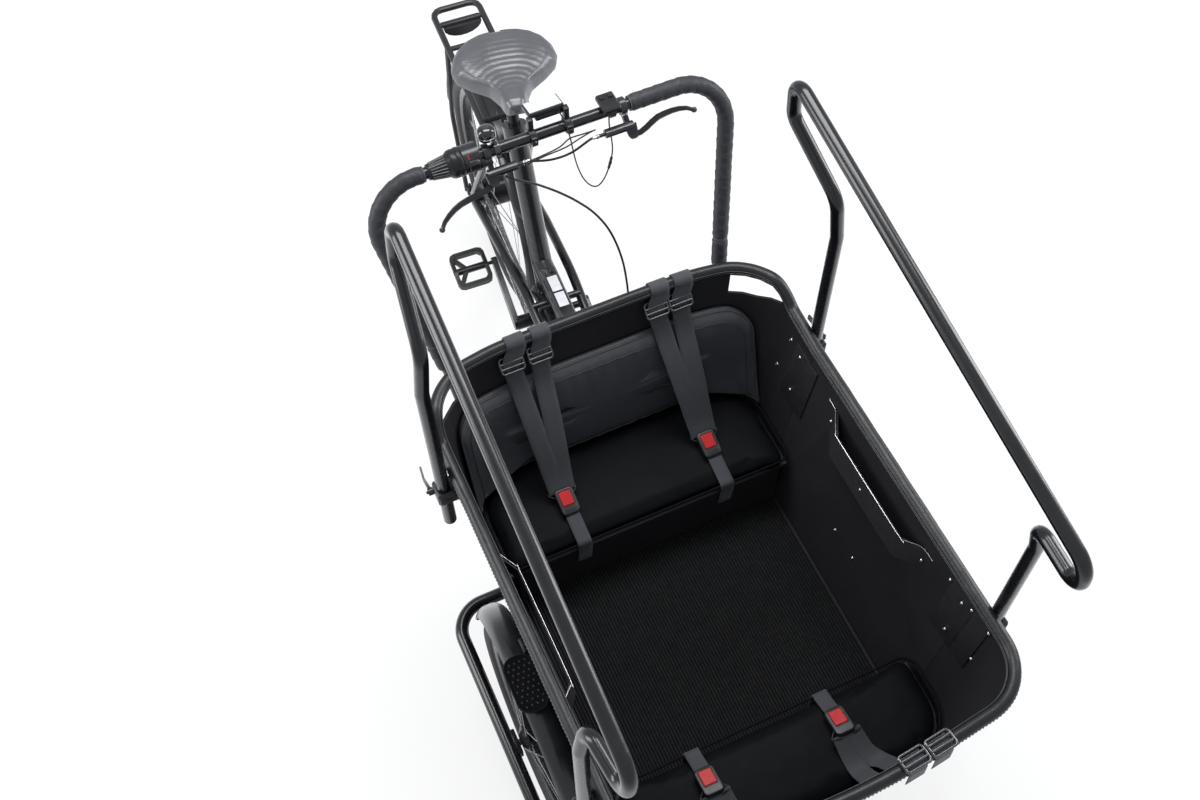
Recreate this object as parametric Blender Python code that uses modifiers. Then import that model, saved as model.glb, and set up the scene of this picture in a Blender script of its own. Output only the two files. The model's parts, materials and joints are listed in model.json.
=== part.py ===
"""A three-wheeled electric cargo bike: a wheeled box in front, steered by the whole
frame behind it, with side rails, two benches, harnesses and a wrapped push bar.

Every mesh is modelled in metres in the box's frame: +X is the rider's left, +Y the
rear, +Z up from the floor, and y is zero under the middle of the box.
"""
import bpy
import bmesh
from math import acos, atan2, cos, pi, radians, sin, sqrt, tan
from mathutils import Matrix, Vector

# General fits
GAP = 0.0003
WALL = 0.006
BORE_PLAY = 0.0006

# Box outline, on the wall's middle line
FLOOR_HALF_WIDTH = 0.3016
FLOOR_FRONT_Y = -0.420
FLOOR_REAR_Y = 0.430
FLOOR_CORNER_RADIUS = 0.090
RIM_HALF_WIDTH = 0.363
RIM_REAR_HALF_WIDTH = 0.366
RIM_FRONT_Y = -0.5165
RIM_FRONT_CORNER_Y = -0.4715
RIM_FRONT_CORNER_RADIUS = 0.100
RIM_FRONT_BOW_RADIUS = 1.30
RIM_REAR_Y = 0.500
RIM_REAR_CORNER_Y = 0.474
RIM_REAR_CORNER_RADIUS = 0.125
RIM_REAR_BEND_X = 0.200
RIM_REAR_BEND_RADIUS = 0.50
SIDE_RIM_TOP = 0.770
REAR_RIM_TOP = 0.811
RIM_RADIUS = 0.012
RIM_RISE_START_Y = 0.345
RIM_RISE_END_Y = 0.430
FRONT_SEAM_Y = -0.300
REAR_SEAM_Y = 0.265
SEAM_GAP = 0.0008
HAND_SLOT_HEIGHT = 0.049
HAND_SLOT_DROP = 0.008

# Frame under the box
FRAME_TOP = 0.285
RAIL_BEAM_WIDTH = 0.040
RAIL_BEAM_HEIGHT = 0.045
RAIL_BEAM_FRONT_Y = -0.365
RAIL_BEAM_REAR_Y = 0.360
AXLE_Y = -0.040
PIVOT_Y = -0.040
STEER_AT_REST = 3.4
HEAD_TUBE_RADIUS = 0.030
STEERER_RADIUS = 0.0195

# Front wheels
FRONT_WHEEL_X = 0.372
FRONT_TYRE_RADIUS = 0.251
FRONT_BEAD_RADIUS = 0.203
TYRE_WIDTH = 0.048
FRONT_SPOKES = 20
WHEEL_STEPS = 24
AXLE_RADIUS = 0.0068
GUARD_CLEARANCE = 0.027
GUARD_WIDTH = 0.059
BUMPER_X = 0.4355
BUMPER_Z = 0.260
BUMPER_RADIUS = 0.0139
BUMPER_FRONT_Y = -0.350
BUMPER_REAR_Y = 0.270
BUMPER_BEND = 0.065
STEP_TOP = 0.550
STEP_WIDTH = 0.062
STEP_LENGTH = 0.116
STEP_Y = -0.040

# Benches and upholstery
FLOOR_THICKNESS = 0.006
MAT_THICKNESS = 0.0085
BOARD = 0.012
RISER_SET_BACK = 0.006
SEAT_TOP = 0.460
CUSHION_THICKNESS = 0.0345
REAR_BENCH_EDGE_Y = 0.215
FRONT_BENCH_EDGE_Y = -0.255
BACKREST_DEPTH_LOW = 0.042
BACKREST_DEPTH_TOP = 0.032
BACKREST_TOP = 0.702
BACKREST_HALF_WIDTH = 0.318
BACKREST_CORNER = 0.050

# Side rails and their clamps
RAIL_RADIUS = 0.0127
RAIL_X = 0.3895
RAIL_REAR_Y = 0.310
RAIL_FRONT_Y = -0.331
RAIL_END_Y = -0.440
RAIL_FOOT_Z = 0.590
CLAMP_Z = 0.700
CLAMP_HEIGHT = 0.036
CLAMP_WIDTH = 0.040

# Push bar
BAR_RADIUS = 0.0111
WRAP_RADIUS = 0.0162
BAR_HALF_WIDTH = 0.360
BAR_Y = 0.683
BAR_Z = 1.120
BAR_BEND = 0.090
LEG_X = 0.290
LEG_Y = 0.532
LEG_Z = 0.725
LEG_FOOT_Z = 0.450
FOOT_STAND_OFF = 0.0016
WRAP_LEFT_START = 0.158
WRAP_RIGHT_START = -0.236

# Controls on the bar
DISPLAY_CLAMPS = (-0.031, 0.038)
DISPLAY_SIZE = (0.068, 0.042, 0.013)
SCREEN_TILT = -32.0
PAD_X = 0.122
LEFT_BRAKE_X = 0.144
RIGHT_BRAKE_X = -0.120
LEVER_REACH = 0.0555
LEVER_TILT = 40.0
BELL_X = -0.100
SHIFTER_X = -0.150
GRIP_START = -0.166
GRIP_END = -0.230

# Rear frame, in its own upright plane
BRACKET_Y = 0.885
BRACKET_Z = 0.275
SEAT_ANGLE = 69.0
SEAT_TUBE_RADIUS = 0.0235
SEAT_TUBE_TOP = 0.735
BEAM_RADIUS = 0.0235
BEAM_LOW_Z = 0.196
BEAM_HIGH_Z = 0.410
BEAM_HIGH_Y = 0.700
BEAM_LOW_Y = 0.500
STAY_RADIUS = 0.0110
CHAIN_STAY = 0.385
REAR_AXLE_Y = BRACKET_Y + CHAIN_STAY
REAR_TYRE_RADIUS = 0.302
REAR_BEAD_RADIUS = 0.2535
REAR_SPOKES = 24
DROPOUT_X = 0.0675
POST_RADIUS = 0.0135
SADDLE_TOP = 0.910
SADDLE_TURN = 5.0
SADDLE_SET_FORWARD = 0.013
SADDLE_STRETCH = 0.94
SADDLE_HALF_WIDTH = 0.108

# Drive
CHAIN_PITCH = 0.0127
RING_TEETH = 38
SPROCKET_TEETH = 18
CHAIN_LINE = -0.045
CRANK_LENGTH = 0.160
CRANK_X = 0.088
CRANK_ANGLE = 22.0
PEDAL_WIDTH = 0.085
PEDAL_LENGTH = 0.095

# Rack
RACK_Z = 0.700
RACK_HALF_WIDTH = 0.055
RACK_RADIUS = 0.0075
RACK_REAR_Y = REAR_AXLE_Y + 0.230
RACK_REAR_BAR_Y = REAR_AXLE_Y + 0.180
RACK_MIDDLE_BAR_Y = REAR_AXLE_Y + 0.100
RACK_FRONT_Y = REAR_AXLE_Y - 0.150

# Harness webbing
STRAP_WIDTH = 0.038
STRAP_THICKNESS = 0.0018
BUCKLE_SIZE = (0.040, 0.056, 0.017)
SLIDE_Z = 0.764

for old in list(bpy.data.objects):
    bpy.data.objects.remove(old, do_unlink=True)

parts = bpy.data.collections.new("electric_cargo_bike")
bpy.context.scene.collection.children.link(parts)
workshop = bpy.data.collections.new("cutters")
bpy.context.scene.collection.children.link(workshop)


# Materials

def material(name, colour, roughness, metallic=0.0):
    new = bpy.data.materials.new(name)
    new.use_nodes = True
    shader = new.node_tree.nodes["Principled BSDF"]
    shader.inputs["Base Color"].default_value = (*colour, 1.0)
    shader.inputs["Roughness"].default_value = roughness
    shader.inputs["Metallic"].default_value = metallic
    new.diffuse_color = (*colour, 1.0)
    return new


BLACK_PAINT = material("black_paint", (0.012, 0.013, 0.016), 0.35)
SATIN_PAINT = material("satin_black_paint", (0.015, 0.015, 0.017), 0.50)
BOARD_BLACK = material("black_panel", (0.020, 0.018, 0.018), 0.62)
VINYL = material("black_vinyl", (0.022, 0.022, 0.024), 0.45)
MAT_RUBBER = material("mat_rubber", (0.010, 0.010, 0.011), 0.85)
RUBBER = material("tyre_rubber", (0.016, 0.016, 0.017), 0.80)
PLASTIC = material("black_plastic", (0.014, 0.014, 0.015), 0.50)
GLOSS = material("gloss_black_plastic", (0.010, 0.010, 0.012), 0.22)
WEBBING = material("black_webbing", (0.018, 0.018, 0.020), 0.75)
RED = material("red_plastic", (0.650, 0.020, 0.020), 0.35)
STEEL = material("steel", (0.550, 0.550, 0.560), 0.30, 1.0)
DARK_METAL = material("dark_metal", (0.060, 0.060, 0.065), 0.35, 1.0)


# Modelling helpers. Each makes a plain mesh object in the workshop collection.

def stored(name, mesh):
    new = bpy.data.objects.new(name, mesh)
    workshop.objects.link(new)
    new.hide_render = True
    new.display_type = "WIRE"
    return new


def baked(source, weld=0.00001):
    """A plain mesh of the object as evaluated, in world coordinates, facing out."""
    bpy.context.view_layer.update()
    graph = bpy.context.evaluated_depsgraph_get()
    mesh = bpy.data.meshes.new_from_object(source.evaluated_get(graph))
    mesh.transform(source.matrix_world)
    bm = bmesh.new()
    bm.from_mesh(mesh)
    bmesh.ops.remove_doubles(bm, verts=bm.verts, dist=weld)
    bmesh.ops.recalc_face_normals(bm, faces=bm.faces)
    bm.to_mesh(mesh)
    bm.free()
    name = source.name
    bpy.data.objects.remove(source, do_unlink=True)
    return stored(name, mesh)


def from_bmesh(name, bm, matrix=None):
    mesh = bpy.data.meshes.new(name)
    bm.to_mesh(mesh)
    bm.free()
    if matrix is not None:
        mesh.transform(matrix)
    return stored(name, mesh)


def placed(at=(0, 0, 0), turn=(0, 0, 0)):
    """A location and rotations in degrees about X, then Y, then Z."""
    spin = (Matrix.Rotation(radians(turn[2]), 4, "Z")
            @ Matrix.Rotation(radians(turn[1]), 4, "Y")
            @ Matrix.Rotation(radians(turn[0]), 4, "X"))
    return Matrix.Translation(Vector(at)) @ spin


def block(size, at=(0, 0, 0), turn=(0, 0, 0), bevel=0.0, segments=1, matrix=None):
    bm = bmesh.new()
    bmesh.ops.create_cube(bm, size=1.0)
    bmesh.ops.scale(bm, vec=Vector(size), verts=bm.verts)
    if bevel:
        bmesh.ops.bevel(bm, geom=bm.edges, offset=bevel, segments=segments, profile=0.5,
                        affect="EDGES", material=-1)
    spot = placed(at, turn)
    return from_bmesh("block", bm, matrix @ spot if matrix is not None else spot)


def along(start, end):
    """A matrix at the middle of two points, with Z from the first to the second."""
    start, end = Vector(start), Vector(end)
    direction = end - start
    spin = direction.to_track_quat("Z", "Y").to_matrix().to_4x4()
    return Matrix.Translation((start + end) / 2) @ spin


def rod(start, end, radius, sides=12, end_radius=None):
    bm = bmesh.new()
    length = (Vector(end) - Vector(start)).length
    bmesh.ops.create_cone(bm, cap_ends=True, segments=sides, radius1=radius,
                          radius2=radius if end_radius is None else end_radius, depth=length)
    return from_bmesh("rod", bm, along(start, end))


def tube(points, radius, resolution=2, closed=False):
    """A bent tube along the points, with 4 + 2 x resolution sides."""
    curve = bpy.data.curves.new("tube", "CURVE")
    curve.dimensions = "3D"
    curve.bevel_depth = radius
    curve.bevel_resolution = resolution
    curve.use_fill_caps = True
    spline = curve.splines.new("POLY")
    spline.points.add(len(points) - 1)
    for point, place in zip(spline.points, points):
        point.co = (*place, 1.0)
    spline.use_cyclic_u = closed
    return baked(stored("tube", curve))


def section_sweep(points, section, closed=False, scales=None):
    """A tube along the points whose section is a closed outline instead of a circle."""
    ring = bpy.data.curves.new("section", "CURVE")
    ring.dimensions = "2D"
    spline = ring.splines.new("POLY")
    spline.points.add(len(section) - 1)
    for point, place in zip(spline.points, section):
        point.co = (place[0], place[1], 0.0, 1.0)
    spline.use_cyclic_u = True
    guide = stored("section", ring)
    curve = bpy.data.curves.new("sweep", "CURVE")
    curve.dimensions = "3D"
    curve.twist_mode = "Z_UP"
    curve.bevel_mode = "OBJECT"
    curve.bevel_object = guide
    curve.use_fill_caps = True
    path = curve.splines.new("POLY")
    path.points.add(len(points) - 1)
    for index, place in enumerate(points):
        path.points[index].co = (*place, 1.0)
        if scales:
            path.points[index].radius = scales[index]
    path.use_cyclic_u = closed
    result = baked(stored("sweep", curve))
    bpy.data.objects.remove(guide, do_unlink=True)
    return result


def plate(outline, thickness, matrix=None, holes=()):
    """A flat plate of an outline in X and Y, centred on z = 0 before it is placed."""
    curve = bpy.data.curves.new("plate", "CURVE")
    curve.dimensions = "2D"
    curve.fill_mode = "BOTH"
    curve.extrude = thickness / 2
    for ring in (outline, *holes):
        spline = curve.splines.new("POLY")
        spline.points.add(len(ring) - 1)
        for point, place in zip(spline.points, ring):
            point.co = (place[0], place[1], 0.0, 1.0)
        spline.use_cyclic_u = True
    new = stored("plate", curve)
    if matrix is not None:
        new.matrix_world = matrix
    return baked(new)


def turned(profile, steps, matrix=None, closed=True):
    """A profile of (radius, height) points turned about Z."""
    mesh = bpy.data.meshes.new("turned")
    count = len(profile)
    edges = [(i, i + 1) for i in range(count - 1)]
    if closed:
        edges.append((count - 1, 0))
    mesh.from_pydata([(r, 0.0, z) for r, z in profile], edges, [])
    new = stored("turned", mesh)
    screw = new.modifiers.new("Screw", "SCREW")
    screw.axis = "Z"
    screw.steps = steps
    screw.render_steps = steps
    screw.use_merge_vertices = True
    screw.merge_threshold = 0.00001
    if matrix is not None:
        new.matrix_world = matrix
    return baked(new)


def shell(rows, thickness, closed=False, offset=0.0, skip=()):
    """An open surface through rows of points, given a thickness. Cells in skip stay open."""
    bm = bmesh.new()
    grid = [[bm.verts.new(Vector(point)) for point in row] for row in rows]
    width = len(rows[0])
    for i in range(len(rows) - 1):
        for j in range(width if closed else width - 1):
            if (i, j) in skip:
                continue
            k = (j + 1) % width
            bm.faces.new((grid[i][j], grid[i][k], grid[i + 1][k], grid[i + 1][j]))
    loose = [v for v in bm.verts if not v.link_faces]
    bmesh.ops.delete(bm, geom=loose, context="VERTS")
    new = from_bmesh("shell", bm)
    solid = new.modifiers.new("Solidify", "SOLIDIFY")
    solid.thickness = thickness
    solid.offset = offset
    solid.use_even_offset = True
    return baked(new)


def loft(rings, smooth=0):
    """A closed body through closed rings of points, capped at both ends."""
    bm = bmesh.new()
    grid = [[bm.verts.new(Vector(point)) for point in ring] for ring in rings]
    width = len(rings[0])
    for low, high in zip(grid, grid[1:]):
        for j in range(width):
            k = (j + 1) % width
            bm.faces.new((low[j], low[k], high[k], high[j]))
    bm.faces.new(list(reversed(grid[0])))
    bm.faces.new(grid[-1])
    new = from_bmesh("loft", bm)
    if smooth:
        soft = new.modifiers.new("Subdivision", "SUBSURF")
        soft.levels = smooth
        soft.render_levels = smooth
    return baked(new)


def together(*pieces):
    """Several separate meshes as one object, to be cut with or joined on in one go."""
    bm = bmesh.new()
    for piece in pieces:
        bm.from_mesh(piece.data)
        bpy.data.objects.remove(piece, do_unlink=True)
    return from_bmesh("together", bm)


def combined(base, other, operation):
    boolean = base.modifiers.new("Boolean", "BOOLEAN")
    boolean.solver = "EXACT"
    boolean.operation = operation
    boolean.object = other
    result = baked(base, weld=0.000002)
    bpy.data.objects.remove(other, do_unlink=True)
    return result


def union(base, *others):
    for other in others:
        base = combined(base, other, "UNION")
    return base


def cut(base, *others):
    for other in others:
        base = combined(base, other, "DIFFERENCE")
    return base


def mirrored(piece):
    """A mirror copy across the middle plane, with its faces turned out again."""
    bm = bmesh.new()
    bm.from_mesh(piece.data)
    bmesh.ops.scale(bm, vec=(-1, 1, 1), verts=bm.verts)
    bmesh.ops.reverse_faces(bm, faces=bm.faces)
    return from_bmesh(piece.name, bm)


def copied(piece, matrix=None):
    bm = bmesh.new()
    bm.from_mesh(piece.data)
    return from_bmesh(piece.name, bm, matrix)


def empty(name, parent=None, at=(0, 0, 0), turn=(0, 0, 0)):
    new = bpy.data.objects.new(name, None)
    new.empty_display_size = 0.05
    parts.objects.link(new)
    new.parent = parent
    new.location = at
    new.rotation_euler = [radians(a) for a in turn]
    return new


def finished(name, piece, look, parent, origin=(0, 0, 0), parent_origin=(0, 0, 0), sharp=35):
    """Moves a workshop mesh into the model, with its origin where it turns or stands."""
    origin, parent_origin = Vector(origin), Vector(parent_origin)
    mesh = piece.data
    mesh.name = name
    mesh.transform(Matrix.Translation(-origin))
    mesh.materials.clear()
    mesh.materials.append(look)
    mesh.shade_smooth()
    mesh.set_sharp_from_angle(angle=radians(sharp))
    bpy.data.objects.remove(piece, do_unlink=True)
    new = bpy.data.objects.new(name, mesh)
    parts.objects.link(new)
    new.parent = parent
    new.location = origin - parent_origin
    return new


# Geometry helpers

def mix(a, b, t):
    return a + (b - a) * t


def smooth(t):
    t = min(max(t, 0.0), 1.0)
    return t * t * (3 - 2 * t)


def corner_arc(before, corner, after, radius, count):
    """Points on a fillet between the runs before and after a corner, both ends included."""
    before, corner, after = Vector(before), Vector(corner), Vector(after)
    a = (before - corner).normalized()
    b = (after - corner).normalized()
    half = a.angle(b) / 2
    reach = radius / tan(half)
    centre = corner + (a + b).normalized() * (radius / sin(half))
    start = corner + a * reach - centre
    end = corner + b * reach - centre
    sweep = start.angle(end)
    found = []
    for i in range(count):
        t = i / (count - 1)
        found.append(centre + start * (sin((1 - t) * sweep) / sin(sweep)) + end * (sin(t * sweep) / sin(sweep)))
    return found


def bent(points, radius, step=24.0):
    """A route of straight runs with round bends. A radius of its own may be given per corner."""
    points = [Vector(p) for p in points]
    radii = radius if isinstance(radius, (list, tuple)) else [radius] * (len(points) - 2)
    route = [points[0]]
    for i in range(1, len(points) - 1):
        turn = pi - (points[i - 1] - points[i]).angle(points[i + 1] - points[i])
        count = max(3, int(round(turn / radians(step))) + 1)
        route += corner_arc(points[i - 1], points[i], points[i + 1], radii[i - 1], count)
    route.append(points[-1])
    return route


def smooth_route(points, spacing):
    """Evenly spaced points on a smooth curve through the given ones."""
    points = [Vector(p) for p in points]
    ends = [points[0] * 2 - points[1]] + points + [points[-1] * 2 - points[-2]]
    fine = []
    for i in range(1, len(ends) - 2):
        for n in range(12):
            t = n / 12
            a, b, c, d = ends[i - 1:i + 3]
            fine.append(0.5 * (2 * b + (c - a) * t + (2 * a - 5 * b + 4 * c - d) * t * t
                               + (3 * b - a - 3 * c + d) * t ** 3))
    fine.append(points[-1])
    total = sum((q - p).length for p, q in zip(fine, fine[1:]))
    count = max(2, int(round(total / spacing)))
    route, walked, target = [fine[0]], 0.0, total / count
    for p, q in zip(fine, fine[1:]):
        run = (q - p).length
        while run and walked + run >= target * len(route) and len(route) < count:
            route.append(p.lerp(q, (target * len(route) - walked) / run))
        walked += run
    route.append(fine[-1])
    return route


def rounded_rectangle(width, length, radius, count=4):
    ring = []
    corners = [(1, 1), (-1, 1), (-1, -1), (1, -1)]
    for i, (sx, sy) in enumerate(corners):
        before = corners[i - 1]
        after = corners[(i + 1) % 4]
        corner = Vector((sx * width / 2, sy * length / 2))
        ring += corner_arc(Vector((before[0] * width / 2, before[1] * length / 2)), corner,
                           Vector((after[0] * width / 2, after[1] * length / 2)), radius, count)
    return ring


def ring_points(radius, sides, centre=(0, 0), start=0.0):
    return [(centre[0] + radius * cos(start + 2 * pi * i / sides),
             centre[1] + radius * sin(start + 2 * pi * i / sides)) for i in range(sides)]


SIDEWAYS = Matrix.Rotation(radians(90), 4, "Y")
RIM_LEVEL = SIDE_RIM_TOP - RIM_RADIUS
LIP_START = RIM_LEVEL - RIM_RADIUS - HAND_SLOT_DROP
WALL_FOOT = FRAME_TOP + 0.0008


# Box outline

def half_outline(t, inset=0.0):
    """The wall's middle line on the +X side, front to rear, at the floor (0) to the rim (1)."""
    width = mix(FLOOR_HALF_WIDTH, RIM_HALF_WIDTH, t) - inset
    rear_width = mix(FLOOR_HALF_WIDTH, RIM_REAR_HALF_WIDTH, t) - inset
    front = mix(FLOOR_FRONT_Y - 0.01, RIM_FRONT_Y, t) + inset
    front_corner = mix(FLOOR_FRONT_Y, RIM_FRONT_CORNER_Y, t) + inset
    rear = mix(FLOOR_REAR_Y, RIM_REAR_Y, t) - inset
    rear_corner = mix(FLOOR_REAR_Y - 0.004, RIM_REAR_CORNER_Y, t) - inset
    front_radius = mix(FLOOR_CORNER_RADIUS, RIM_FRONT_CORNER_RADIUS, t) - inset
    rear_radius = mix(FLOOR_CORNER_RADIUS, RIM_REAR_CORNER_RADIUS, t) - inset
    nose = corner_arc((-width, front_corner), (0, front), (width, front_corner), RIM_FRONT_BOW_RADIUS, 5)[2:]
    front_bend = corner_arc((0, front), (width, front_corner), (width, 0), front_radius, 6)
    rear_bend = corner_arc((width, REAR_SEAM_Y), (rear_width, rear_corner), (RIM_REAR_BEND_X, rear),
                           rear_radius, 7)
    tail = corner_arc((rear_width, rear_corner), (RIM_REAR_BEND_X, rear), (0, rear), RIM_REAR_BEND_RADIUS, 3)
    side = [Vector((width, FRONT_SEAM_Y)), Vector((width, REAR_SEAM_Y))]
    return nose + front_bend + side + rear_bend + tail + [Vector((0, rear))]


FRONT_SEAM_INDEX = 9
REAR_SEAM_INDEX = 10


def rim_height(y):
    return RIM_LEVEL + (REAR_RIM_TOP - SIDE_RIM_TOP) * smooth((y - RIM_RISE_START_Y) / (RIM_RISE_END_Y - RIM_RISE_START_Y))


def inset_ring(outline, distance):
    """A closed outline moved inwards by a distance."""
    count = len(outline)
    area = sum(outline[i].x * outline[(i + 1) % count].y - outline[(i + 1) % count].x * outline[i].y
               for i in range(count))
    sign = 1 if area > 0 else -1
    found = []
    for i in range(count):
        a = (outline[i] - outline[i - 1]).normalized()
        b = (outline[(i + 1) % count] - outline[i]).normalized()
        na = Vector((-a.y, a.x)) * sign
        nb = Vector((-b.y, b.x)) * sign
        normal = (na + nb).normalized()
        found.append(outline[i] + normal * distance / max(0.5, normal.dot(na)))
    return found


def lip_height(y):
    """Where the slanted wall ends and its upright lip in the rim begins."""
    return rim_height(y) - RIM_RADIUS - HAND_SLOT_DROP


def outline_at(z, inset):
    """The whole closed outline of the walls' middle line at a height, moved inwards by an inset."""
    right = []
    for low, high in zip(half_outline(0.0), half_outline(1.0)):
        right.append(low.lerp(high, (z - WALL_FOOT) / (lip_height(high.y) - WALL_FOOT)))
    return inset_ring(right + [Vector((-p.x, p.y)) for p in reversed(right[1:-1])], inset)


def trimmed(outline, edge_y, keep):
    """The part of a closed outline in front of or behind a straight cut across."""
    found = []
    for a, b in zip(outline, outline[1:] + outline[:1]):
        if (a.y - edge_y) * keep >= 0:
            found.append(a)
        if (a.y - edge_y) * (b.y - edge_y) < 0:
            found.append(a.lerp(b, (edge_y - a.y) / (b.y - a.y)))
    return found


def wall_x(z):
    """The middle line of a side wall."""
    return mix(FLOOR_HALF_WIDTH, RIM_HALF_WIDTH, (z - WALL_FOOT) / (LIP_START - WALL_FOOT))


def end_wall_y(x, z, inset, end):
    """The y of the rear (1) or front (-1) wall at a place across and a height, moved inwards."""
    line = outline_at(z, inset)
    found = [mix(a.y, b.y, (x - a.x) / (b.x - a.x)) for a, b in zip(line, line[1:] + line[:1])
             if a.x != b.x and min(a.x, b.x) <= x <= max(a.x, b.x)]
    return end * max(end * y for y in found)


WALL_TILT = atan2(RIM_HALF_WIDTH - FLOOR_HALF_WIDTH, LIP_START - WALL_FOOT)
root = empty("cargo_bike")


# Box walls

def wall_rows(first, last, levels):
    """Rows of wall points between two outline columns, from the floor to the lip inside the rim."""
    floor = half_outline(0.0)[first:last + 1]
    top = half_outline(1.0)[first:last + 1]
    rows = []
    for level in levels:
        row = []
        for index, (low, high) in enumerate(zip(floor, top), first):
            rim = rim_height(high.y)
            lip = rim - RIM_RADIUS - HAND_SLOT_DROP
            if level == "floor":
                row.append((low.x, low.y, WALL_FOOT))
            elif level == "slot":
                drop = HAND_SLOT_HEIGHT * smooth((index - REAR_SEAM_INDEX - 1) / 3)
                drop = max(drop, HAND_SLOT_HEIGHT * 0.2)
                share = (lip - drop - WALL_FOOT) / (lip - WALL_FOOT)
                row.append((mix(low.x, high.x, share), mix(low.y, high.y, share), lip - drop))
            elif level == "lip":
                row.append((high.x, high.y, lip))
            else:
                row.append((high.x, high.y, rim + 0.002))
        rows.append(row)
    return rows


def full_rows(rows):
    return [row + [(-x, y, z) for x, y, z in reversed(row[:-1])] for row in rows]


def on_wall(size, y, z, depth, bevel=0.0):
    """A plate lying on the +X wall's inner face: depth is how far it stands off."""
    x = wall_x(z) - (WALL / 2 + depth) / cos(WALL_TILT)
    return block(size, at=(x, y, z), turn=(0, degrees_of(WALL_TILT), 0), bevel=bevel)


def degrees_of(angle):
    return angle * 180 / pi


# Front panel with its corners, the seam plates and the front rail clamps
front_columns = [row for row in wall_rows(0, FRONT_SEAM_INDEX, ("floor", "lip", "top"))]
front_columns = [[(x, y, z) for x, y, z in row] for row in front_columns]
front_full = [[(-x, y, z) for x, y, z in reversed(row[1:])] + row for row in front_columns]
panel_front = shell(front_full, WALL)
seam_plate = union(on_wall((0.003, 0.050, 0.150), FRONT_SEAM_Y - 0.030, 0.665, 0.0008),
                   on_wall((0.003, 0.066, 0.150), FRONT_SEAM_Y + 0.022, 0.665, GAP + 0.0015))
panel_front = union(panel_front, together(copied(seam_plate), mirrored(seam_plate)))
bpy.data.objects.remove(seam_plate, do_unlink=True)


def clamp_body(y):
    """A split clamp on the outside of the wall, bored for the rail's leg."""
    inner = wall_x(CLAMP_Z + CLAMP_HEIGHT / 2) + WALL / 2
    body = block((RAIL_X + 0.017 - inner, CLAMP_WIDTH, CLAMP_HEIGHT),
                 at=((RAIL_X + 0.017 + inner) / 2, y, CLAMP_Z), bevel=0.004)
    return body


def clamp_bore(y):
    return rod((RAIL_X, y, CLAMP_Z - CLAMP_HEIGHT), (RAIL_X, y, CLAMP_Z + CLAMP_HEIGHT),
               RAIL_RADIUS + BORE_PLAY + 0.0006, 16)


def wall_foot_plate(y, depth):
    x = wall_x(CLAMP_Z) + (WALL / 2 + depth) / cos(WALL_TILT)
    return block((0.004, 0.052, 0.070), at=(x, y, CLAMP_Z - 0.005), turn=(0, degrees_of(WALL_TILT), 0))


front_clamp = cut(union(clamp_body(RAIL_FRONT_Y), wall_foot_plate(RAIL_FRONT_Y, 0.001)), clamp_bore(RAIL_FRONT_Y))
panel_front = union(panel_front, together(copied(front_clamp), mirrored(front_clamp)))
bpy.data.objects.remove(front_clamp, do_unlink=True)
finished("panel_front", panel_front, BOARD_BLACK, root)

# Rear panel with its corners and the hand slots under the rim
rear_rows = wall_rows(REAR_SEAM_INDEX, 21, ("floor", "slot", "lip", "top"))
rear_full = full_rows(rear_rows)
columns = len(rear_full[0])
slot_cells = [(1, j) for j in range(2, 6)]
slot_cells += [(1, columns - 2 - j) for j in range(2, 6)]
panel_rear = shell(rear_full, WALL, skip=slot_cells)
rear_plate = union(on_wall((0.003, 0.050, 0.150), REAR_SEAM_Y + 0.030, 0.640, 0.0008),
                   on_wall((0.003, 0.040, 0.150), REAR_SEAM_Y - 0.008, 0.640, GAP + 0.0015))
panel_rear = union(panel_rear, together(copied(rear_plate), mirrored(rear_plate)))
bpy.data.objects.remove(rear_plate, do_unlink=True)
finished("panel_rear", panel_rear, BOARD_BLACK, root)

# Side panels with their grab strips
for side, name in ((1, "left"), (-1, "right")):
    rows = wall_rows(FRONT_SEAM_INDEX, REAR_SEAM_INDEX, ("floor", "lip", "top"))
    rows = [[(x, y + (SEAM_GAP if j == 0 else -SEAM_GAP), z) for j, (x, y, z) in enumerate(row)] for row in rows]
    panel = shell(rows, WALL)
    plan = ((0.190, -0.0015), (0.159, -0.0015), (0.105, 0.0290), (-0.125, 0.0290), (-0.165, -0.0015), (-0.195, -0.0015))
    strip_rows = [[(wall_x(z) - WALL / 2 - stand, y, z) for y, stand in plan] for z in (0.640, 0.702)]
    panel = union(panel, shell(strip_rows, 0.003))
    if side < 0:
        flipped = mirrored(panel)
        bpy.data.objects.remove(panel, do_unlink=True)
        panel = flipped
    finished("panel_" + name, panel, BOARD_BLACK, root)

# Rim wrapped in vinyl, with the slot that the walls' top edges stand in
rim_line = half_outline(1.0)
rim_route = [(p.x, p.y, rim_height(p.y)) for p in rim_line]
rim_route += [(-x, y, z) for x, y, z in reversed(rim_route[1:-1])]
slot_half = WALL / 2 + 0.0008
slot_roof = 0.0042
opening = -sqrt(RIM_RADIUS ** 2 - slot_half ** 2)
arc_start = atan2(opening, slot_half)
rim_section = [(slot_half, slot_roof), (slot_half, opening)]
for i in range(1, 7):
    angle = arc_start + (2 * pi - 2 * (pi / 2 + arc_start)) * i / 7
    rim_section.append((RIM_RADIUS * cos(angle), RIM_RADIUS * sin(angle)))
rim_section += [(-slot_half, opening), (-slot_half, slot_roof)]
finished("rim_wrap", section_sweep(rim_route, rim_section, closed=True), VINYL, root)

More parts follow.
